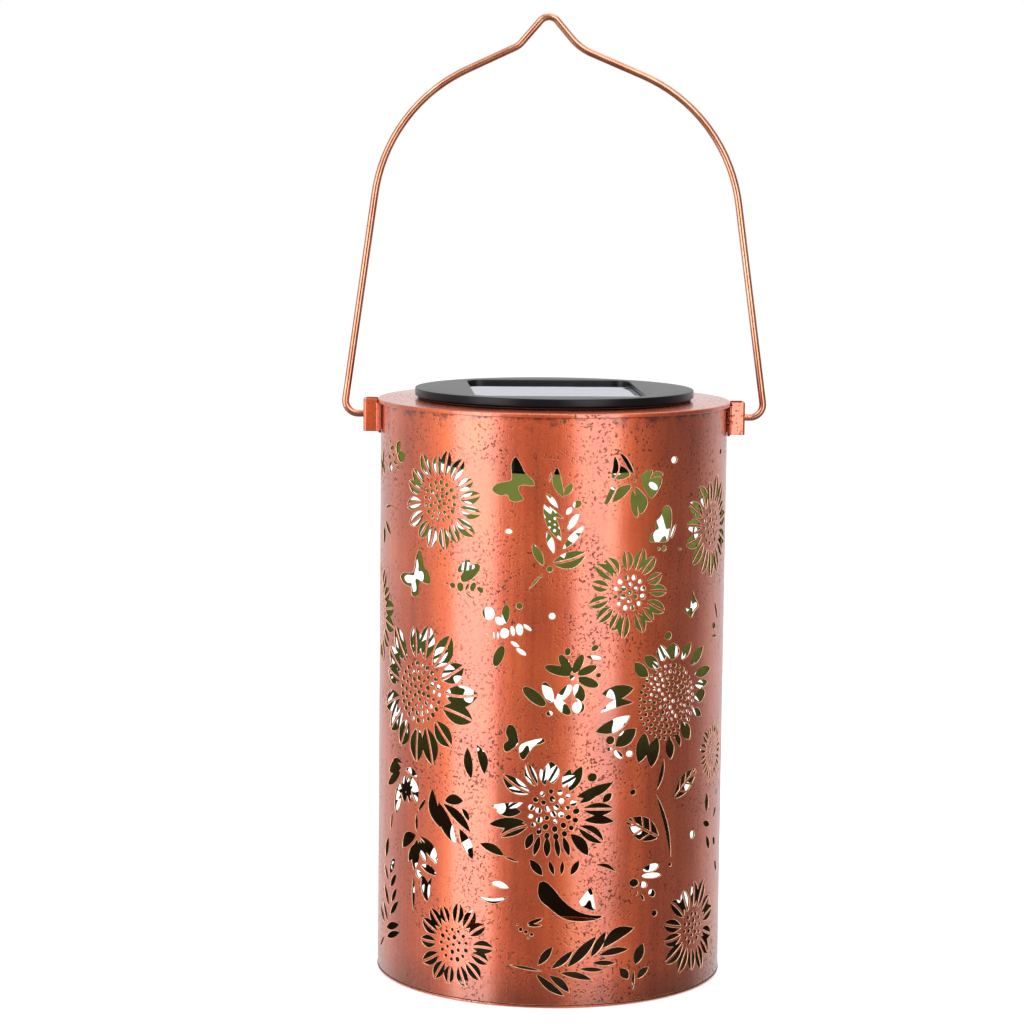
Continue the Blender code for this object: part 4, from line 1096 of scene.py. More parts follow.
    # u, z, half length, squash and turn in degrees of ovals: bees, eyes, buds and dots
    ovals: tuple = (
        (-28.4, 133.4, 2.9, 0.42, 42), (-26.2, 131.5, 4.2, 0.44, 40), (-32.4, 127.2, 1.1, 0.9, 0),
        (-29.6, 127, 1.5, 0.85, 90), (-27.2, 127.2, 1.4, 0.36, 62), (-25.2, 127.3, 1.6, 0.62, 64),
        (-22.8, 126.6, 1.3, 0.7, 140), (-34.8, 127.6, 0.5, 0.8, 0), (-30.4, 124.9, 0.9, 0.3, -20),
        (-26.6, 124.6, 1.4, 0.28, -32), (-28.2, 124.4, 0.6, 0.4, -30), (-20, 119.7, 2.1, 1, 0),
        (-16.6, 117.6, 1.7, 0.75, -30), (-14.6, 119.8, 3, 0.46, 84), (-14.9, 114, 1.7, 0.9, 60),
        (-12.4, 114.8, 1.6, 0.52, 100), (-10.3, 115.3, 1.9, 0.66, 96), (-7.9, 116, 1.6, 0.42, -36),
        (-18.3, 113.2, 1.3, 0.34, 96), (-17, 113.2, 1.3, 0.34, 96), (-11.6, 110.8, 1.6, 0.42, -30),
        (-9.7, 108.6, 1.9, 0.42, -32), (-16.6, 107, 3.5, 0.46, 68), (-20.6, 113.5, 0.8, 0.34, -28),
        (-20, 110.8, 0.4, 0.8, 0), (-10.4, 122.4, 1.1, 1, 0), (-13.9, 144.7, 1.2, 0.72, 0),
        (-0.5, 119.6, 1.1, 1, 0), (39.2, 165.4, 1.3, 0.9, 0), (37.8, 112.1, 1.5, 0.9, 0),
        (50.8, 48.9, 1.4, 1, 0), (34.1, 27, 1.1, 1, 0), (25.6, 65.3, 1.1, 0.9, 20),
        (67.4, 165.8, 1.4, 0.7, 10), (24.5, 159.9, 0.55, 1, 0), (33.5, 138.9, 0.7, 0.8, 0),
        (35.5, 138.9, 1, 0.9, 0), (39.2, 143.8, 2.4, 0.26, 64), (42.2, 138.2, 0.8, 0.5, 0),
        (40.2, 41.3, 0.7, 1, 0), (6.6, 153.2, 1.5, 0.8, 30), (-1.4, 133.7, 1.1, 0.9, 30),
        (-4, 131.6, 0.5, 1, 0), (12.3, 70.6, 1.6, 0.9, 0), (26.4, 37.3, 1.7, 0.8, -10),
        (29.8, 36.4, 1.5, 0.7, -20), (33, 33.4, 1.5, 0.8, -40), (32.8, 38.9, 3.7, 0.26, -4),
        (32.6, 41.3, 3.1, 0.42, 6), (27.4, 33.9, 0.9, 0.4, 70), (29.4, 32.6, 1.3, 0.4, -60),
        (-4.6, 26.6, 2.5, 0.28, 22), (-4.6, 25.3, 2.2, 0.22, 4), (-8.9, 23.9, 0.7, 1, 0),
        (-7.3, 23.2, 0.7, 1, 0), (-5.6, 22.5, 0.7, 0.9, 0), (-9.9, 25.4, 0.4, 1, 0), (-6.6, 21.4, 0.4, 1, 0),
        (17.8, 81.7, 1.5, 0.95, 0), (22.6, 82.3, 2.8, 0.62, 34), (17.6, 79, 0.9, 0.8, 0),
        (20.5, 77.2, 1.9, 0.56, -40), (24.2, 77.2, 1.3, 0.8, 0), (4.3, 108.9, 1.3, 0.8, 80),
        (12.6, 109.9, 1.3, 0.75, 30), (12.4, 107, 2.5, 0.3, -8), (13.8, 101.6, 0.9, 0.9, 0),
        (11.4, 96, 0.5, 0.8, 0), (-1, 90.2, 1.1, 0.8, 0), (5.7, 101.1, 0.9, 1, 0),
        (1.4, 103.2, 4.2, 0.36, 164), (3.6, 105.2, 3.3, 0.46, 122), (7.5, 105.2, 3.2, 0.44, 64),
        (10.3, 103.2, 3.2, 0.42, 22), (10.6, 99.6, 3.5, 0.44, -20), (7.9, 96.4, 2.9, 0.62, -68),
        (-5.6, 95.2, 4.4, 0.42, 142), (-1.5, 96.6, 3.4, 0.46, 112), (3.4, 96.4, 3.3, 0.46, 48),
        (2.9, 92.2, 3.4, 0.46, -44), (7.7, 92, 2, 0.95, 0), (-154, 153.4, 1.8, 1, 0),
        (-155.4, 131.7, 1.8, 1, 0), (-170.5, 103.5, 1.8, 1, 0), (-227.4, 36.4, 2.2, 1, 0),
        (-214.5, 157.4, 2, 1, 0), (-224.3, 51.3, 2.6, 0.8, 0), (-201, 34, 2.5, 0.8, 20),
        (-153.4, 39.2, 2.4, 1, 0), (-230, 66, 2.4, 1, 0), (-205.6, 148.4, 2.2, 0.6, 20),
    )
    # u, z, span and turn in degrees of plain butterflies
    butterflies: tuple = (
        (-75, 160, 9, 20), (87, 154, 9, -20), (-155.4, 98, 21, 14), (-143.6, 81.4, 13, -24),
        (-192.4, 71, 14, 34), (-174.6, 75.6, 14, -16), (-163, 61, 10, 12), (-138.8, 27.6, 13, 28),
        (-206.8, 19.4, 14, -32), (-184.6, 9, 9, 10), (-211.2, 133.6, 12, 18), (-117.8, 119.2, 10, -40),
        (-224.6, 111.2, 8, 22), (-223, 15.6, 10, 12), (-195, 56.6, 9, 0),
    )
    # u, z, length and turn in degrees of plain bees
    bees: tuple = (
        (-139.3, 121.4, 11, 8), (-149, 60, 9, -12), (-90, 78, 9, 16), (88, 84, 9, -10), (86, 28, 9, 24),
    )
    # A butterfly's right half from head to tail, for a span of 1
    half_butterfly: tuple = (
        (0, 0.10), (0.06, 0.16), (0.26, 0.42), (0.46, 0.50), (0.50, 0.36), (0.42, 0.12), (0.26, 0.00),
        (0.40, -0.10), (0.42, -0.28), (0.26, -0.44), (0.12, -0.36), (0.04, -0.12),
    )
    seed: int = 41
    draws: np.random.Generator = field(init=False)

    def __post_init__(self) -> None:
        """Starts the random draws that vary petals and seeds."""
        self.draws = np.random.default_rng(self.seed)

    def seeds(self, u: float, z: float, radius: float, rings: int, size: float) -> list[Outline]:
        """Rings of small holes, each ring as full as its holes allow.

        Args:
            u: centre.
            z: centre.
            radius: of the disc they fill.
            rings: rings round the middle hole.
            size: radius of a hole.

        Returns:
            The openings.
        """
        found = []
        for k in range(rings + 1):
            r = 0.0 if k == 0 else (radius - size - 0.3) * k / rings
            around = max(1, int(2 * math.pi * r / (size * 2 + 0.5)))
            first = self.draws.uniform(0, 2 * math.pi)
            sizes = self.draws.uniform(0.78, 1.12, around)
            for j in range(around):
                a = first + 2 * math.pi * j / around
                at_u, at_z = u + r * math.cos(a), z + r * math.sin(a)
                found.append(circle(at_u, at_z, size * sizes[j], 7, 0.9, math.degrees(a)))
        return found

    def sunflower(
        self, u: float, z: float, disc: float, tip: float, count: int, turn: float, seed: float, rings: int,
        how: Cut,
    ) -> list[Outline]:
        """Pointed petals round a disc of seed holes.

        Args:
            u: centre.
            z: centre.
            disc: radius of the seed disc.
            tip: radius of the longest petals.
            count: number of petals.
            turn: direction of the first petal in degrees.
            seed: radius of a seed hole.
            rings: rings of seed holes round the middle one.
            how: how the petals are cut.

        Returns:
            The openings.
        """
        step = 2 * math.pi / count
        found = []
        start, bridge = disc + 0.5, 0.62
        # How each petal differs: its length, its tip's lean, its bow and its place.
        for i, (shorter, leaning, bowed, off) in enumerate(self.draws.uniform(-1, 1, (count, 4))):
            a = math.radians(turn) + (i + 0.14 * off) * step
            third = 0.12 * (tip - disc) if i % 3 == 1 else 0.0
            reach = tip - (0.07 + 0.07 * shorter) * (tip - disc) - third
            d = np.array([math.cos(a), math.sin(a)])
            lean = np.array([-d[1], d[0]]) * leaning * 0.09 * (reach - start)
            width = (start + 0.60 * (reach - start)) * step - bridge
            bow = 0.06 * bowed * (reach - start)
            root, end = (u, z) + start * d, (u, z) + reach * d + lean
            blade = Blade(tuple(root), tuple(end), width, bow, 0.52)
            found += blade.cut(how)
        return found + self.seeds(u, z, disc, rings, seed)

    def butterfly(self, u: float, z: float, size: float, turn: float) -> list[Outline]:
        """A butterfly as one opening in its own outline.

        Args:
            u: centre.
            z: centre.
            size: its span.
            turn: in degrees.

        Returns:
            The opening.
        """
        half = np.array(self.half_butterfly)
        whole = np.vstack([half, (half * (-1, 1))[::-1][:-1]])
        return [spun(softened(whole), u, z, size, turn)]

    def bee(self, u: float, z: float, size: float, turn: float) -> list[Outline]:
        """A bee in side view: body rings, head, and two round wings.

        Args:
            u: centre.
            z: centre.
            size: its length.
            turn: in degrees.

        Returns:
            The openings.
        """
        stops = np.linspace(-0.42, 0.30, 5)
        wings = [circle(-0.14, 0.34, 0.20, 14, 0.52, 112), circle(0.17, 0.33, 0.21, 14, 0.60, 62)]
        shapes = [circle(0.40, 0.02, 0.085, 10), *wings]
        for t0, t1 in zip(stops, stops[1:]):
            t = np.linspace(t0, t1 - 0.055, 4)
            h = 0.15 * np.sin(math.pi * np.clip((t + 0.46) / 0.86, 0, 1)) ** 0.6
            shapes.append(np.vstack([np.column_stack([t, -h - 0.03]), np.column_stack([t, h - 0.03])[::-1]]))
        return [spun(shape, u, z, size, turn) for shape in shapes]

    def openings(self) -> list[Outline]:
        """Collects the openings of every table.

        Returns:
            Every opening in the sheet.
        """
        found: list[Outline] = []
        for row in self.sunflowers:
            found += self.sunflower(*row)
        for row in self.seed_discs:
            found += self.seeds(*row)
        for table, how in ((self.plain, Cut.PLAIN), (self.split, Cut.SPLIT), (self.veined, Cut.VEINED)):
            for u0, z0, u1, z1, width, *bow in table:
                found += Blade((u0, z0), (u1, z1), width, *bow, belly=0.5, rib=0.55).cut(how)
        found += [softened(row) for row in self.outlines]
        for u, z, half, squash, turn in self.ovals:
            found.append(circle(u, z, half, 12 if half < 2 else 18, squash, turn))
        for row in self.butterflies:
            found += self.butterfly(*row)
        for row in self.bees:
            found += self.bee(*row)
        return found


# ------------------------------------------------------------------ drum
@dataclass
class Drum:
    """The pierced body: rolled sheet, its joint, top ring, base plate and the two ears."""

    looks: Looks
    radius: float = 54.0
    sheet: float = 0.5
    low: float = 0.9
    high: float = 179.2
    height: float = 180.1
    lip: float = 0.6
    joint_u: float = 97.0
    joint_gap: float = 0.4
    ease: float = 0.13
    columns: int = 97
    rows: int = 47
    strip_half: float = 6.3
    strip_low: float = 3.0
    strip_high: float = 177.5
    weld_at: float = 3.6
    weld_pitch: float = 17.45
    weld_size: float = 1.1
    weld_depth: float = 0.25
    ring_hole: float = 36.6
    notch_radius: float = 40.2
    notch_half: float = 4.8
    ear_web: float = 59.4
    ear_half: float = 4.0
    ear_sheet: float = 0.8
    ear_low: float = 169.8
    ear_high: float = 179.7
    ear_relief: float = 178.4
    pivot: float = 174.9
    wire_hole: float = 1.6
    drain_at: float = 38.0
    drain: float = 2.5
    body: str = "lantern_body"
    pattern: GardenPattern = field(default_factory=GardenPattern)

    def wrap(self, flat: np.ndarray, depth: np.ndarray) -> np.ndarray:
        """Rolls the sheet: angle = u / R, x = (R - depth) sin, y = -(R - depth) cos."""
        angle, r = flat[:, 0] / self.radius, self.radius - depth
        return np.column_stack([r * np.sin(angle), -r * np.cos(angle), flat[:, 1]])

    def build_sheet(self) -> None:
        """Cuts, rolls and thickens the pattern sheet; each side, the rims and the cut walls have a finish."""
        left = self.joint_u - 2 * math.pi * self.radius + self.joint_gap / 2
        right = self.joint_u - self.joint_gap / 2
        u, z = np.linspace(left, right, self.columns), np.linspace(self.low, self.high, self.rows)
        grid = np.stack(np.meshgrid(u[1:-1], z[1:-1]), -1)
        grid[::2, :, 0] += (u[1] - u[0]) * 0.25
        openings = self.pattern.openings()
        flat, triangles = cut_sheet(rectangle_edge(u, z), openings, grid.reshape(-1, 2), 1.1)
        mesh, normals = thicken(flat, triangles, self.wrap, self.sheet, self.ease)
        # outer coat; inside with painted lamp light and shade; eased rims with a painted highlight; cut walls
        # dark as painted shade in the openings
        looks = [self.looks[key] for key in ("coat", "inside", "edge", "wall_shade")]
        make_piece(
            "drum_sheet", mesh, self.body, looks, ["pierced_shell"], [0, 1, 2, 3], normals
        )

    def build_joint(self) -> None:
        """The strip behind the joint, an arc of the inner radius with two rows of spot welds pressed in.

        Each weld is a dimple: depth e^(-(distance / size)^2).
        """
        heights = np.linspace(self.strip_low, self.strip_high, 181)
        z, a = np.meshgrid(heights, np.linspace(-self.strip_half, self.strip_half, 41), indexing="ij")
        pitch = self.weld_pitch
        near = np.abs((z - self.strip_low + pitch / 2) % pitch - pitch / 2)
        beside = np.minimum(np.abs(a - self.weld_at), np.abs(a + self.weld_at))
        across = beside * math.radians(1) * self.radius
        press = self.weld_depth * np.exp(-((near**2 + across**2) / self.weld_size**2))
        outer = np.full_like(a, self.radius - self.sheet - 0.5)
        inner = self.radius - self.sheet - 1.0 + press
        angle = self.joint_u / self.radius + np.radians(a)
        shells = [np.stack([r * np.sin(angle), -r * np.cos(angle), z], -1) for r in (outer, inner)]
        rings = np.concatenate([shells[0], shells[1][:, ::-1]], axis=1)
        mesh = loft(rings, (rings[0].mean(axis=0), rings[-1].mean(axis=0)))
        looks = [self.looks["inside"]]
        make_piece("drum_joint_strip", mesh, self.body, looks, ["seam_strip"])

    def build_ring(self) -> None:
        """The top ring: flat plate with a rolled lip, and three notches in its hole for the lid's tabs.

        Its inner radius is the hole's, or the notch's where the angle from a notch's centre is under the
        arc sine of the notch's half width over the hole's radius.
        """
        whole, notch = 2 * math.pi, math.asin(self.notch_half / self.ring_hole)
        centres = np.radians([90.0, 210.0, 330.0])
        steps = np.array([-notch - 0.0015, -notch + 0.0015, notch - 0.0015, notch + 0.0015])
        edges = (centres[:, None] + steps).ravel() % whole
        angles = np.unique(np.concatenate([np.linspace(0, whole, 241)[:-1], edges]))
        off = np.abs((angles[:, None] - centres + math.pi) % whole - math.pi).min(axis=1)
        inner = np.where(off < notch, self.notch_radius, self.ring_hole)
        top, out, under = self.height, self.radius + 0.9, self.height - self.lip
        profile = rounded(
            [(self.radius + 0.3, under), (self.radius + 0.3, under - 0.7), (out, under - 0.7), (out, top)],
            [0.0, 0.12, 0.2, 0.0], 4,
        )
        corner = rounded([(out, under), (out, top), (self.ring_hole, top)], [0, 0.42, 0], 6)[1:-1]
        line = np.vstack([profile[:-1], corner])
        soft = 0.12
        hole = np.stack([inner + soft, inner, inner, inner + soft])
        radii = np.vstack([np.repeat(line[:, :1], len(angles), axis=1), hole])
        heights = np.concatenate([line[:, 1], [top, top - soft, under + soft, under]])
        mesh = loft(polar_rings(radii, heights, angles))
        make_piece("drum_top_ring", mesh, self.body, [self.looks["rolled"]], ["top_ring"])

    def build_base(self) -> None:
        """The base: a plate with four drain holes, flush under the drum, and a flange inside its foot."""
        at, corners = self.drain_at, np.radians([45.0, 135.0, 225.0, 315.0])
        drains = [circle(at * math.cos(c), at * math.sin(c), self.drain, 28) for c in corners]
        blank = circle(0.0, 0.0, self.radius - 0.1, 200)
        flat, triangles = cut_sheet(blank, drains, np.zeros((0, 2)), 0.0)

        def place(points: np.ndarray, depth: np.ndarray) -> np.ndarray:
            """Lays the plate outer face down; x is mirrored to keep it right side out."""
            return np.column_stack([-points[:, 0], points[:, 1], depth])

        plate, _ = thicken(flat, triangles, place, self.lip, 0.22)
        out, top = self.radius - self.sheet - 0.6, 2.4
        section = rounded(
            [(out - 0.6, self.lip - 0.1), (out, self.lip - 0.1), (out, top), (out - 0.6, top)],
            [0.0, 0.0, 0.2, 0.2], 4, closed=True,
        )
        mesh, looks = joined(plate, turned_piece(section, 240)), [self.looks["rolled"], self.looks["inside"]]
        make_piece("drum_base", mesh, self.body, looks, ["base_plate"], [0, 1, 0, 0, 0])

    def build_ear(self, side: int) -> None:
        """A folded ear: two flanges on the drum, two legs and an outer web with the wire's hole.

        A flat strip is carried along the folded line P(s); its depth runs along the line's left normal.

        Args:
            side: 1 on the right, -1 on the left.
        """
        far, half = self.radius + 0.3 + self.ear_sheet, self.ear_half

        def on(y: float) -> tuple[float, float]:
            """The flange's face at that y."""
            return math.sqrt(far * far - y * y), y

        web = self.ear_web
        corners = [on(-9), on(-6.5), on(-half), (web, -half), (web, half), on(half), on(6.5), on(9)]
        line = rounded(corners, [0, 30, 0.45, 1.0, 1.0, 0.45, 30, 0], 5)
        steps = np.linalg.norm(np.diff(line, axis=0), axis=1)
        s = np.concatenate([[0], np.cumsum(steps)])
        ahead = np.gradient(line, s, axis=0)
        ahead /= np.linalg.norm(ahead, axis=1, keepdims=True)
        left = np.column_stack([-ahead[:, 1], ahead[:, 0]])

        def place(flat: np.ndarray, depth: np.ndarray) -> np.ndarray:
            """Carries the strip along the fold; the left ear is the right one turned half round Z."""
            base = np.column_stack([np.interp(flat[:, 0], s, line[:, k]) for k in (0, 1)])
            normal = np.column_stack([np.interp(flat[:, 0], s, left[:, k]) for k in (0, 1)])
            at = (base + normal * depth[:, None]) * side
            return np.column_stack([at, flat[:, 1]])

        end, rows = s[-1], np.linspace(self.ear_low, self.ear_high, 15)
        # The flanges stop below the ring's lip, up to where the first leg leaves the drum.
        first_half = line[: len(s) // 2]
        leg = s[np.argmin(np.abs(first_half[:, 1] + half - 0.1) + (first_half[:, 0] > far + 0.3) * 9)]
        relief, top, round_off = self.ear_relief, self.ear_high, [0, 0.5, 0, 0]
        notches = [
            rounded([(outer, relief), (inner, relief), (inner, top), (outer, top)], round_off, 4, True)
            for outer, inner in ((0, leg), (end, end - leg))
        ]
        hole = circle(end / 2, self.pivot, self.wire_hole, 28)
        grid = np.stack(np.meshgrid(s[1:-1], rows[1:-1]), -1).reshape(-1, 2)
        beside = (grid[:, 0] < leg + 0.2) | (grid[:, 0] > end - leg - 0.2)
        grid = grid[~((grid[:, 1] > relief - 0.2) & beside)]
        flat, triangles = cut_sheet(rectangle_edge(s, rows), [hole, *notches], grid, 0.12)
        mesh, normals = thicken(flat, triangles, place, self.ear_sheet, 0.12)
        name, looks = "right" if side > 0 else "left", [self.looks["rolled"]]
        node = [f"ear_{name}"]
        make_piece(f"ear_bracket_{name}", mesh, self.body, looks, node, normals=normals)

    def build(self) -> None:
        """Builds every piece of the drum."""
        self.build_sheet()
        self.build_joint()
        self.build_ring()
        self.build_base()
        for side in (1, -1):
            self.build_ear(side)


# ------------------------------------------------------------------ handle
@dataclass
class Bail:
    """The wire handle: upset ends in the ears, leaning legs, round shoulders and a pointed peak."""

    pivot: float = 174.9
    wire: float = 1.15
    head: float = 1.8
    sides: int = 20
    body: str = "bail"

    def centreline(self) -> np.ndarray:
        """The bent wire's middle line in the XZ plane, from the right end over the peak to the left.

        Returns:
            (N, 2) points, x and z.
        """
        right = [(57.2, 0.0), (65.7, 0.0), (52.5, 94.4), (6.6, 113.6), (-3.0, 124.9)]
        left = [(-12.2, 114.2), (-52.6, 95.2), (-65.7, 0.0), (-57.2, 0.0)]
        corners = np.array(right + left) + (0.0, self.pivot)
        radii = [0.0, 4.0, 50.0, 16.0, 3.4, 6.0, 50.0, 4.0, 0.0]
        return rounded(corners, radii, 16)

    def build(self, look: Look) -> None:
        """Carries a circle along the bent line: point = line + r (cos a Y + sin a (T x Y)).

        The radius r swells to an upset head at both ends.

        Args:
            look: the wire's finish.
        """
        line = self.centreline()
        ends = np.array([1.8, 1.7, 1.5, 0.9, 0.5, 0.3])
        swell = np.array([0.0, 1.0, 1.0, 1.0, 0.8, 0.0]) * (self.head - self.wire) + self.wire
        swell[0] = 0.8 * self.head
        first, last = np.tile(line[0], (len(ends), 1)), np.tile(line[-1], (len(ends), 1))
        first[:, 0] -= ends
        last[:, 0] += ends[::-1]
        path = np.vstack([first, line, last])
        radius = np.concatenate([swell, np.full(len(line), self.wire), swell[::-1]])
        length = np.concatenate([[0], np.cumsum(np.linalg.norm(np.diff(path, axis=0), axis=1))])
        # Pliers and rolls leave the wire very slightly uneven.
        radius = radius - 0.02 - 0.02 * np.sin(length / 5.3) * np.sin(length / 13.7)
        centre = np.column_stack([path[:, 0], 0 * length, path[:, 1]])
        other = np.cross(unit(np.gradient(centre, axis=0)), (0.0, 1.0, 0.0))
        a = full_turn(self.sides)
        round_y = np.cos(a)[None, :, None] * np.array([0.0, 1.0, 0.0])
        round_other = np.sin(a)[None, :, None] * other[:, None]
        rings = centre[:, None] + radius[:, None, None] * (round_y + round_other)
        mesh = loft(rings, (tuple(centre[0]), tuple(centre[-1])))
        make_piece("bail_wire", mesh, self.body, [look], ["bail_handle"], smooth=50)


# ------------------------------------------------------------------ lid
@dataclass
class SolarLid:
    """The lift-out lid: cap with a sunk window, seal, clear cover, and the housing underneath."""

    looks: Looks
    cap_radius: float = 43.4
    cap_low: float = 181.0
    cap_high: float = 183.5
    neck: float = 36.0
    neck_inner: float = 34.4
    neck_low: float = 176.0
    floor: float = 178.3
    yaw: float = 3.5
    window: tuple[float, float, float] = (52.0, 62.0, 5.0)
    pocket: tuple[float, float, float] = (44.0, 52.0, 3.0)
    window_floor: float = 181.5
    pocket_floor: float = 179.5
    body: str = "solar_lid"
    seal_body: str = "lid_seal"
    sides: int = 288
    tab: tuple = ((35.2, -3.2, 177.7), (39.4, 3.2, 179.2))  # lowest and highest corner
    seal: tuple = (37.2, 42.6, 180.35, 180.75)  # inner and outer radius, low and high
    cover_low: float = 181.7
    cover_high: float = 182.4

    def rectangle(self, size: tuple[float, float, float], angles: np.ndarray) -> np.ndarray:
        """Radius of a rounded rectangle in each direction.

        A ray meets a flat side where r cos a or r sin a equals the half size, or else the corner circle,
        where |r d - c| equals its radius.

        Args:
            size: width, length and corner radius.
            angles: directions in the lid's axes.

        Returns:
            The radius for each angle.
        """
        half_x, half_y, corner = size[0] / 2, size[1] / 2, size[2]
        turned = angles - math.radians(self.yaw)
        dx, dy = np.abs(np.cos(turned)), np.abs(np.sin(turned))
        cx, cy = half_x - corner, half_y - corner
        flat = np.minimum(half_x / np.maximum(dx, 1e-9), half_y / np.maximum(dy, 1e-9))
        along = dx * cx + dy * cy
        inside = np.maximum(along**2 - cx**2 - cy**2 + corner**2, 0)
        arc = along + np.sqrt(inside)
        in_corner = (flat * dx > cx) & (flat * dy > cy)
        return np.where(in_corner, arc, flat)

    def build_cap(self) -> None:
        """The cap as one lofted skin, up inside the neck, round the rim, over the top and down the window."""
        angles = full_turn(self.sides)
        deep, wide = self.rectangle(self.pocket, angles), self.rectangle(self.window, angles)
        out, top, low = self.cap_radius, self.cap_high, self.cap_low
        rim = rounded(
            [(out - 2, top), (out, top), (out, low), (self.neck, low), (self.neck, self.neck_low),
             (self.neck_inner, self.neck_low), (self.neck_inner, self.floor), (10, self.floor)],
            [0, 0.3, 0.4, 0.25, 0.4, 0.4, 0.3, 0], 5,
        )[::-1]
        skin = [(np.full_like(angles, r), z) for r, z in rim[:-1]]
        skin += [(0.5 * (wide + out - 1.2), top), (wide + 0.35, top), (wide + 0.1, top - 0.1)]
        skin += [(wide, top - 0.35)]
        skin += [(wide, self.window_floor), (deep + 0.2, self.window_floor), (deep, self.window_floor - 0.2)]
        skin += [(deep, self.pocket_floor), (0.5 * deep, self.pocket_floor)]
        rings = polar_rings(np.stack([r for r, _ in skin]), [z for _, z in skin], angles)
        cap = loft(rings, ((0, 0, self.floor), (0, 0, self.pocket_floor)))
        make_piece("lid_cap", cap, self.body, [self.looks["abs"]], ["cap_housing"])

    def build_tabs(self) -> None:
        """The three locking tabs on the neck."""
        tabs = [turned_about_z(soft_box(*self.tab, 0.6), turn) for turn in (90, 210, 330)]
        make_piece("lid_locking_tabs", joined(*tabs), self.body, [self.looks["abs"]])

    def build_seal(self) -> None:
        """The flat seal under the cap, a hoop with rounded edges."""
        near, far, low, high = self.seal
        section = rounded([(near, low), (far, low), (far, high), (near, high)], [0.15] * 4, 4, True)
        mesh, looks = turned_piece(section, 200), [self.looks["rubber"]]
        make_piece("lid_seal_ring", mesh, self.seal_body, looks, ["seal_ring"])

    def build_cover(self) -> None:
        """The clear cover, a rounded plate whose top edge rolls over."""
        angles, low, high = full_turn(self.sides), self.cover_low, self.cover_high
        edge = self.rectangle((self.window[0] - 0.6, self.window[1] - 0.6, self.window[2] - 0.3), angles)
        rows = ((0.5, low), (0, low), (0.02, 181.8), (0, 182.1), (0.10, 182.3), (0.35, high), (6.0, high))
        rings = polar_rings(np.stack([edge - inset for inset, _ in rows]), [z for _, z in rows], angles)
        mesh, looks = loft(rings, ((0, 0, low), (0, 0, high))), [self.looks["cover"]]
        make_piece("lid_window_cover", mesh, self.body, looks, ["panel_cover"], smooth=25)

    def build_lens(self) -> None:
        """The lamp's domed lens with its flange."""
        line = [
            (0, 157.4), (2.0, 157.9), (3.4, 159.2), (4.0, 161.0), (4.0, 161.9), (5.4, 161.9), (5.4, 162.7),
            (3.2, 162.7), (3.2, 161.0), (2.6, 159.7), (1.5, 158.7), (0, 158.3),
        ]
        mesh = turned_piece(rounded(line, [0, 3, 3, 3, 0.1, 0.15, 0.15, 0.1, 2, 2, 2, 0], 3), 40)
        make_piece("lamp_lens", mesh, self.body, [self.looks["lens"]], ["led_lens"])

    def build(self) -> None:
        """Builds the lid's own pieces."""
        self.build_cap()
        self.build_tabs()
        self.build_seal()
        self.build_cover()
        self.build_lens()


@dataclass
class CarriedNodes:
    """The frame's nodes whose shape is right as it is; each gets the finish of its real material."""

    finishes: dict[str, tuple[str, ...]] = field(
        default_factory=lambda: {
            "abs": ("lower_housing", "battery_door", "switch_slider"),
            "board": ("solar_panel",),
            "silicon": tuple(f"solar_cell_{k}" for k in (1, 2, 3, 4)),
            "foam": ("adhesive_front", "adhesive_rear"),
            "sleeve": ("battery",),
            "nickel": ("contact_positive", "contact_negative", "contact_spring", "switch_case"),
            "green": ("circuit_board",),
            "ferrite": ("driver_chip", "inductor"),
            "lamp": ("led",),
            "zinc": tuple(f"housing_screw_{k}" for k in (1, 2, 3, 4)),
            "red": ("panel_lead_red", "battery_lead_red"),
            "black": ("panel_lead_black", "battery_lead_black"),
        }
    )

    def dress(self, looks: Looks) -> None:
        """Assigns the finishes.

        Args:
            looks: the finishes by name.
        """
        for key, names in self.finishes.items():
            for name in names:
                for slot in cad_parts[name].material_slots:
                    slot.material = looks[key]
                LOG.info("%s carried over in %s", name, looks[key].name)


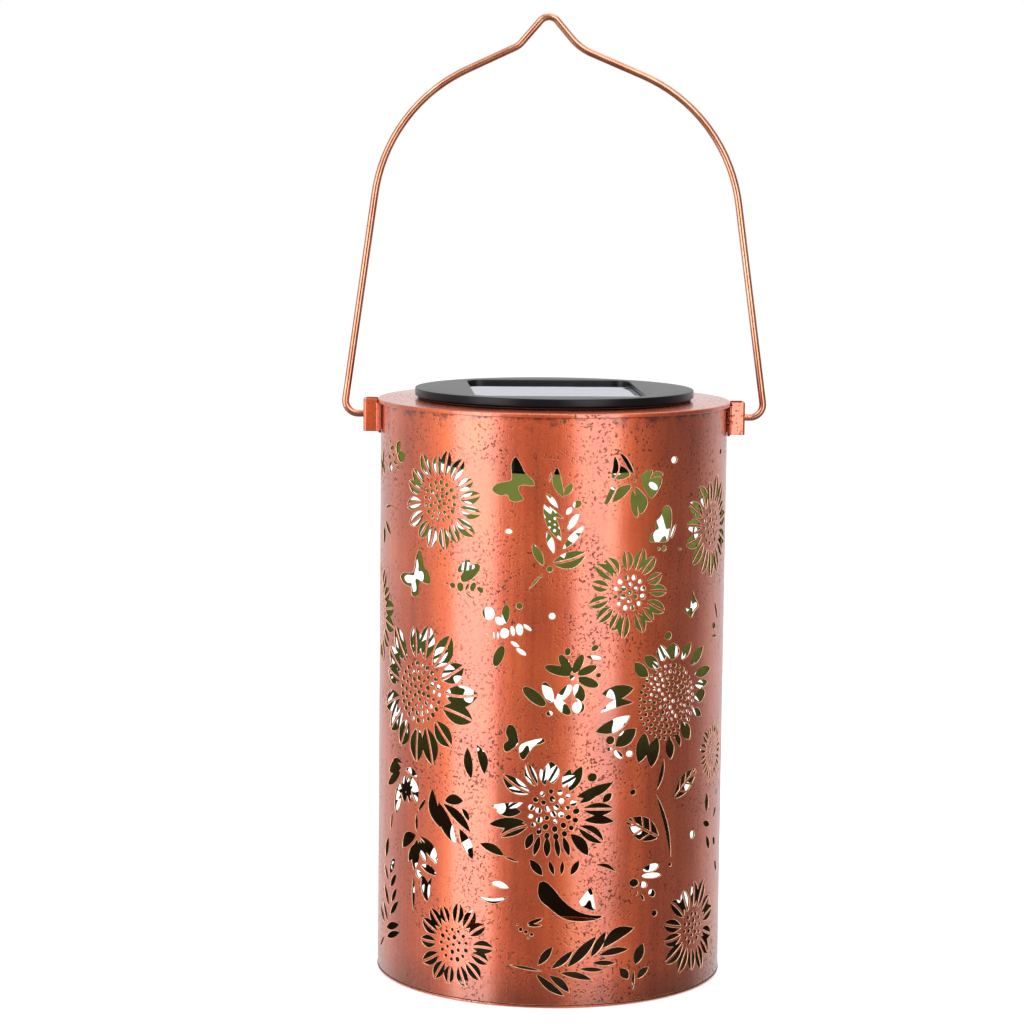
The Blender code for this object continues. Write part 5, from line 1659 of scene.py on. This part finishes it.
# ------------------------------------------------------------------ studio
@dataclass
class Studio:
    """A pale floor, two tall soft boxes, a soft top light and a white room, with the camera in front."""

    camera: tuple[float, float, float] = (-12.8, -1024.0, 265.2)
    pitch: float = 6.73
    roll: float = 0.61
    sensor: float = 36.0
    focal_in_sensors: float = 3291.0 / 1024.0
    # name, degrees to the right of the camera's side, distance, height, (width, height) in metres, radiance
    boxes: tuple = (
        ("soft_box_left", -52.0, 1.30, 0.48, (0.80, 2.0), 3.05),
        ("soft_box_right", 28.0, 1.30, 0.56, (0.78, 2.0), 2.85),
        ("soft_box_top", 160.0, 0.5, 1.6, (1.2, 1.2), 1.2),
    )
    table_radius: float = 6000.0
    table_top: float = -0.3
    table_sides: int = 64

    def build_camera(self) -> None:
        """Sets the camera level with the handle, looking slightly down."""
        data = bpy.data.cameras.new("camera")
        data.lens, data.sensor_width = self.focal_in_sensors * self.sensor, self.sensor
        data.clip_start, data.clip_end = 0.05, 50.0
        camera = bpy.data.objects.new("camera", data)
        down = Matrix.Rotation(math.radians(90 - self.pitch), 4, "X")
        turn = down @ Matrix.Rotation(math.radians(self.roll), 4, "Z")
        camera.matrix_world = Matrix.Translation(Vector(self.camera) * MM) @ turn
        bpy.context.scene.collection.objects.link(camera)
        bpy.context.scene.camera = camera

    def build_lights(self) -> None:
        """Two tall boxes make the drum's two bright bands, one above softens the top; a lamp glows inside.

        A box's power is radiance * pi * area, and it faces the drum's middle.
        """
        for name, azimuth, distance, height, size, radiance in self.boxes:
            data = bpy.data.lights.new(name, "AREA")
            data.shape, data.size, data.size_y = "RECTANGLE", *size
            data.energy = radiance * math.pi * size[0] * size[1]
            light = bpy.data.objects.new(name, data)
            a = math.radians(azimuth)
            light.location = place = Vector((distance * math.sin(a), -distance * math.cos(a), height))
            light.rotation_euler = (Vector((0, 0, 0.12)) - place).to_track_quat("-Z", "Y").to_euler()
            light.visible_camera = False
            bpy.context.scene.collection.objects.link(light)
        lamp = bpy.data.lights.new("lamp_glow", "POINT")
        lamp.energy, lamp.shadow_soft_size, lamp.color = 0.10, 0.004, (1.0, 0.95, 0.78)
        glow = bpy.data.objects.new("lamp_glow", lamp)
        glow.location = (0.0, 0.0, 0.150)
        bpy.context.scene.collection.objects.link(glow)
        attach(glow, "solar_lid")

    def build_world(self) -> None:
        """A white room: plain white to the eye; bright behind and above, dimmer left, dark to the right."""
        world = bpy.data.worlds.new("studio_room")
        world.use_nodes = True
        tree = world.node_tree
        way = add(tree, "SeparateXYZ", {"Vector": add(tree, "TexCoord").outputs["Generated"]}).outputs
        front = {"Value": way["X"], "From Min": -1.0, "From Max": -0.3, "To Min": 0.60, "To Max": 0.20}
        behind, above = (
            add(tree, "MapRange", {"Value": way[axis], "From Min": low, "From Max": high},
                interpolation_type="SMOOTHSTEP")
            for axis, low, high in (("Y", 0.25, 0.75), ("Z", 0.35, 0.85))
        )
        bright = add(tree, "Math", {0: behind, 1: above}, operation="MAXIMUM")
        level = add(tree, "Mix", {0: bright, 2: add(tree, "MapRange", front), 3: 0.82}, data_type="FLOAT")
        seen = add(tree, "LightPath").outputs["Is Camera Ray"]
        shown = add(tree, "Mix", {0: seen, 2: level, 3: 1.0}, data_type="FLOAT")
        back = tree.nodes["Background"].inputs
        plug(tree, shown, back["Strength"])
        plug(tree, (1.0, 1.0, 1.0, 1.0), back["Color"])
        bpy.context.scene.world = world

    def build_floor(self) -> None:
        """A round light table under the lantern."""
        a, radius = full_turn(self.table_sides), self.table_radius
        rim = np.column_stack([radius * np.cos(a), radius * np.sin(a), np.full_like(a, self.table_top)])
        points = rim * MM
        data = bpy.data.meshes.new("floor")
        data.from_pydata(points.tolist(), [], [list(range(self.table_sides))])
        data.materials.append(LightTable().make())
        floor = bpy.data.objects.new("floor", data)
        floor.visible_glossy = False
        floor.visible_shadow = False
        bpy.context.scene.collection.objects.link(floor)

    def build(self) -> None:
        """Sets the whole studio."""
        self.build_camera()
        self.build_lights()
        self.build_world()
        self.build_floor()
        bpy.context.scene.view_settings.view_transform = "Standard"


# ------------------------------------------------------------------ finishes and main
def finishes() -> Looks:
    """Makes every finish once.

    Returns:
        The materials by their short names.
    """
    made = {
        # the sheet's rims get patina with painted shade at the foot and under the top ring
        "coat": AgedCopperCoat("antique_copper_sheet", rims=(7.0, 177.0)),
        "rolled": AgedCopperCoat(
            "antique_copper_rolled", cloud_mm=12.0, pit_mm=1.1, pits=0.7, haze=0.12, grit=0.5
        ),
        "wire": AgedCopperCoat(
            "antique_copper_wire", "#e6a07a", "#cf7c53", "#a0553a", roughness=0.27, cloud_mm=9.0, pit_mm=1.6,
            streak_mm=3.0, pits=0.12, haze=0.1, grit=0.05,
        ),
        # inside: tarnish with painted lamp light at the top and painted shade below
        "inside": InnerTarnishAndShade(),
        "edge": CutEdgeHighlight(),
        # painted shade: the straight cut walls are near black so the openings read as shadowed holes
        "wall_shade": Moulded("cut_wall_painted_shade", "#22120a", "#3d2212", 0.6, 0.5, 0.01),
        "abs": Moulded("moulded_black_abs", "#090a0e", "#111218", 0.30, 0.35, 0.010, ior=1.53, gleam=0.22),
        "rubber": Moulded("black_seal_rubber", "#141415", "#1b1b1c", 0.75, 0.5, 0.02, ior=1.52),
        "board": Moulded("panel_board_blue", "#1a2540", "#202c4a", 0.4, 0.8, 0.01),
        "foam": Moulded("white_foam_pad", "#d8d7d2", "#e2e1dc", 0.9, 0.4, 0.12),
        "sleeve": Moulded("green_cell_sleeve", "#2f8a55", "#358f5c", 0.3, 1.2, 0.02, coat=0.6),
        "nickel": Moulded("nickel_plate", "#bcb8ae", "#c6c3ba", 0.25, 0.7, 0.006, metallic=1.0),
        "zinc": Moulded("zinc_plated_steel", "#b4b6b8", "#bfc2c6", 0.3, 0.5, 0.008, metallic=1.0),
        "green": Moulded("green_solder_mask", "#0f4a2a", "#145531", 0.35, 0.9, 0.01, coat=0.4),
        "ferrite": Moulded("dark_ferrite", "#333335", "#3c3c3f", 0.55, 0.4, 0.02),
        "red": Moulded("red_wire_pvc", "#b01818", "#bb2222", 0.42, 0.8, 0.01),
        "black": Moulded("black_wire_pvc", "#202020", "#282828", 0.42, 0.8, 0.01),
        "silicon": SiliconCell(),
        "cover": ClearCover(),
        "lens": LampResin("clear_lens_resin", "#f6f7f8"),
        "lamp": LampResin("warm_lamp_resin", "#f3e6b4", 0.12),
    }
    return {key: finish.make() for key, finish in made.items()}


def main() -> None:
    """Builds the lantern's pieces in order, then the studio."""
    logging.basicConfig(level=logging.INFO, format="%(name)s %(message)s")
    looks = finishes()
    Drum(looks).build()
    Bail().build(looks["wire"])
    SolarLid(looks).build()
    CarriedNodes().dress(looks)
    Studio().build()
    bpy.context.view_layer.update()


if __name__ == "__main__":
    main()
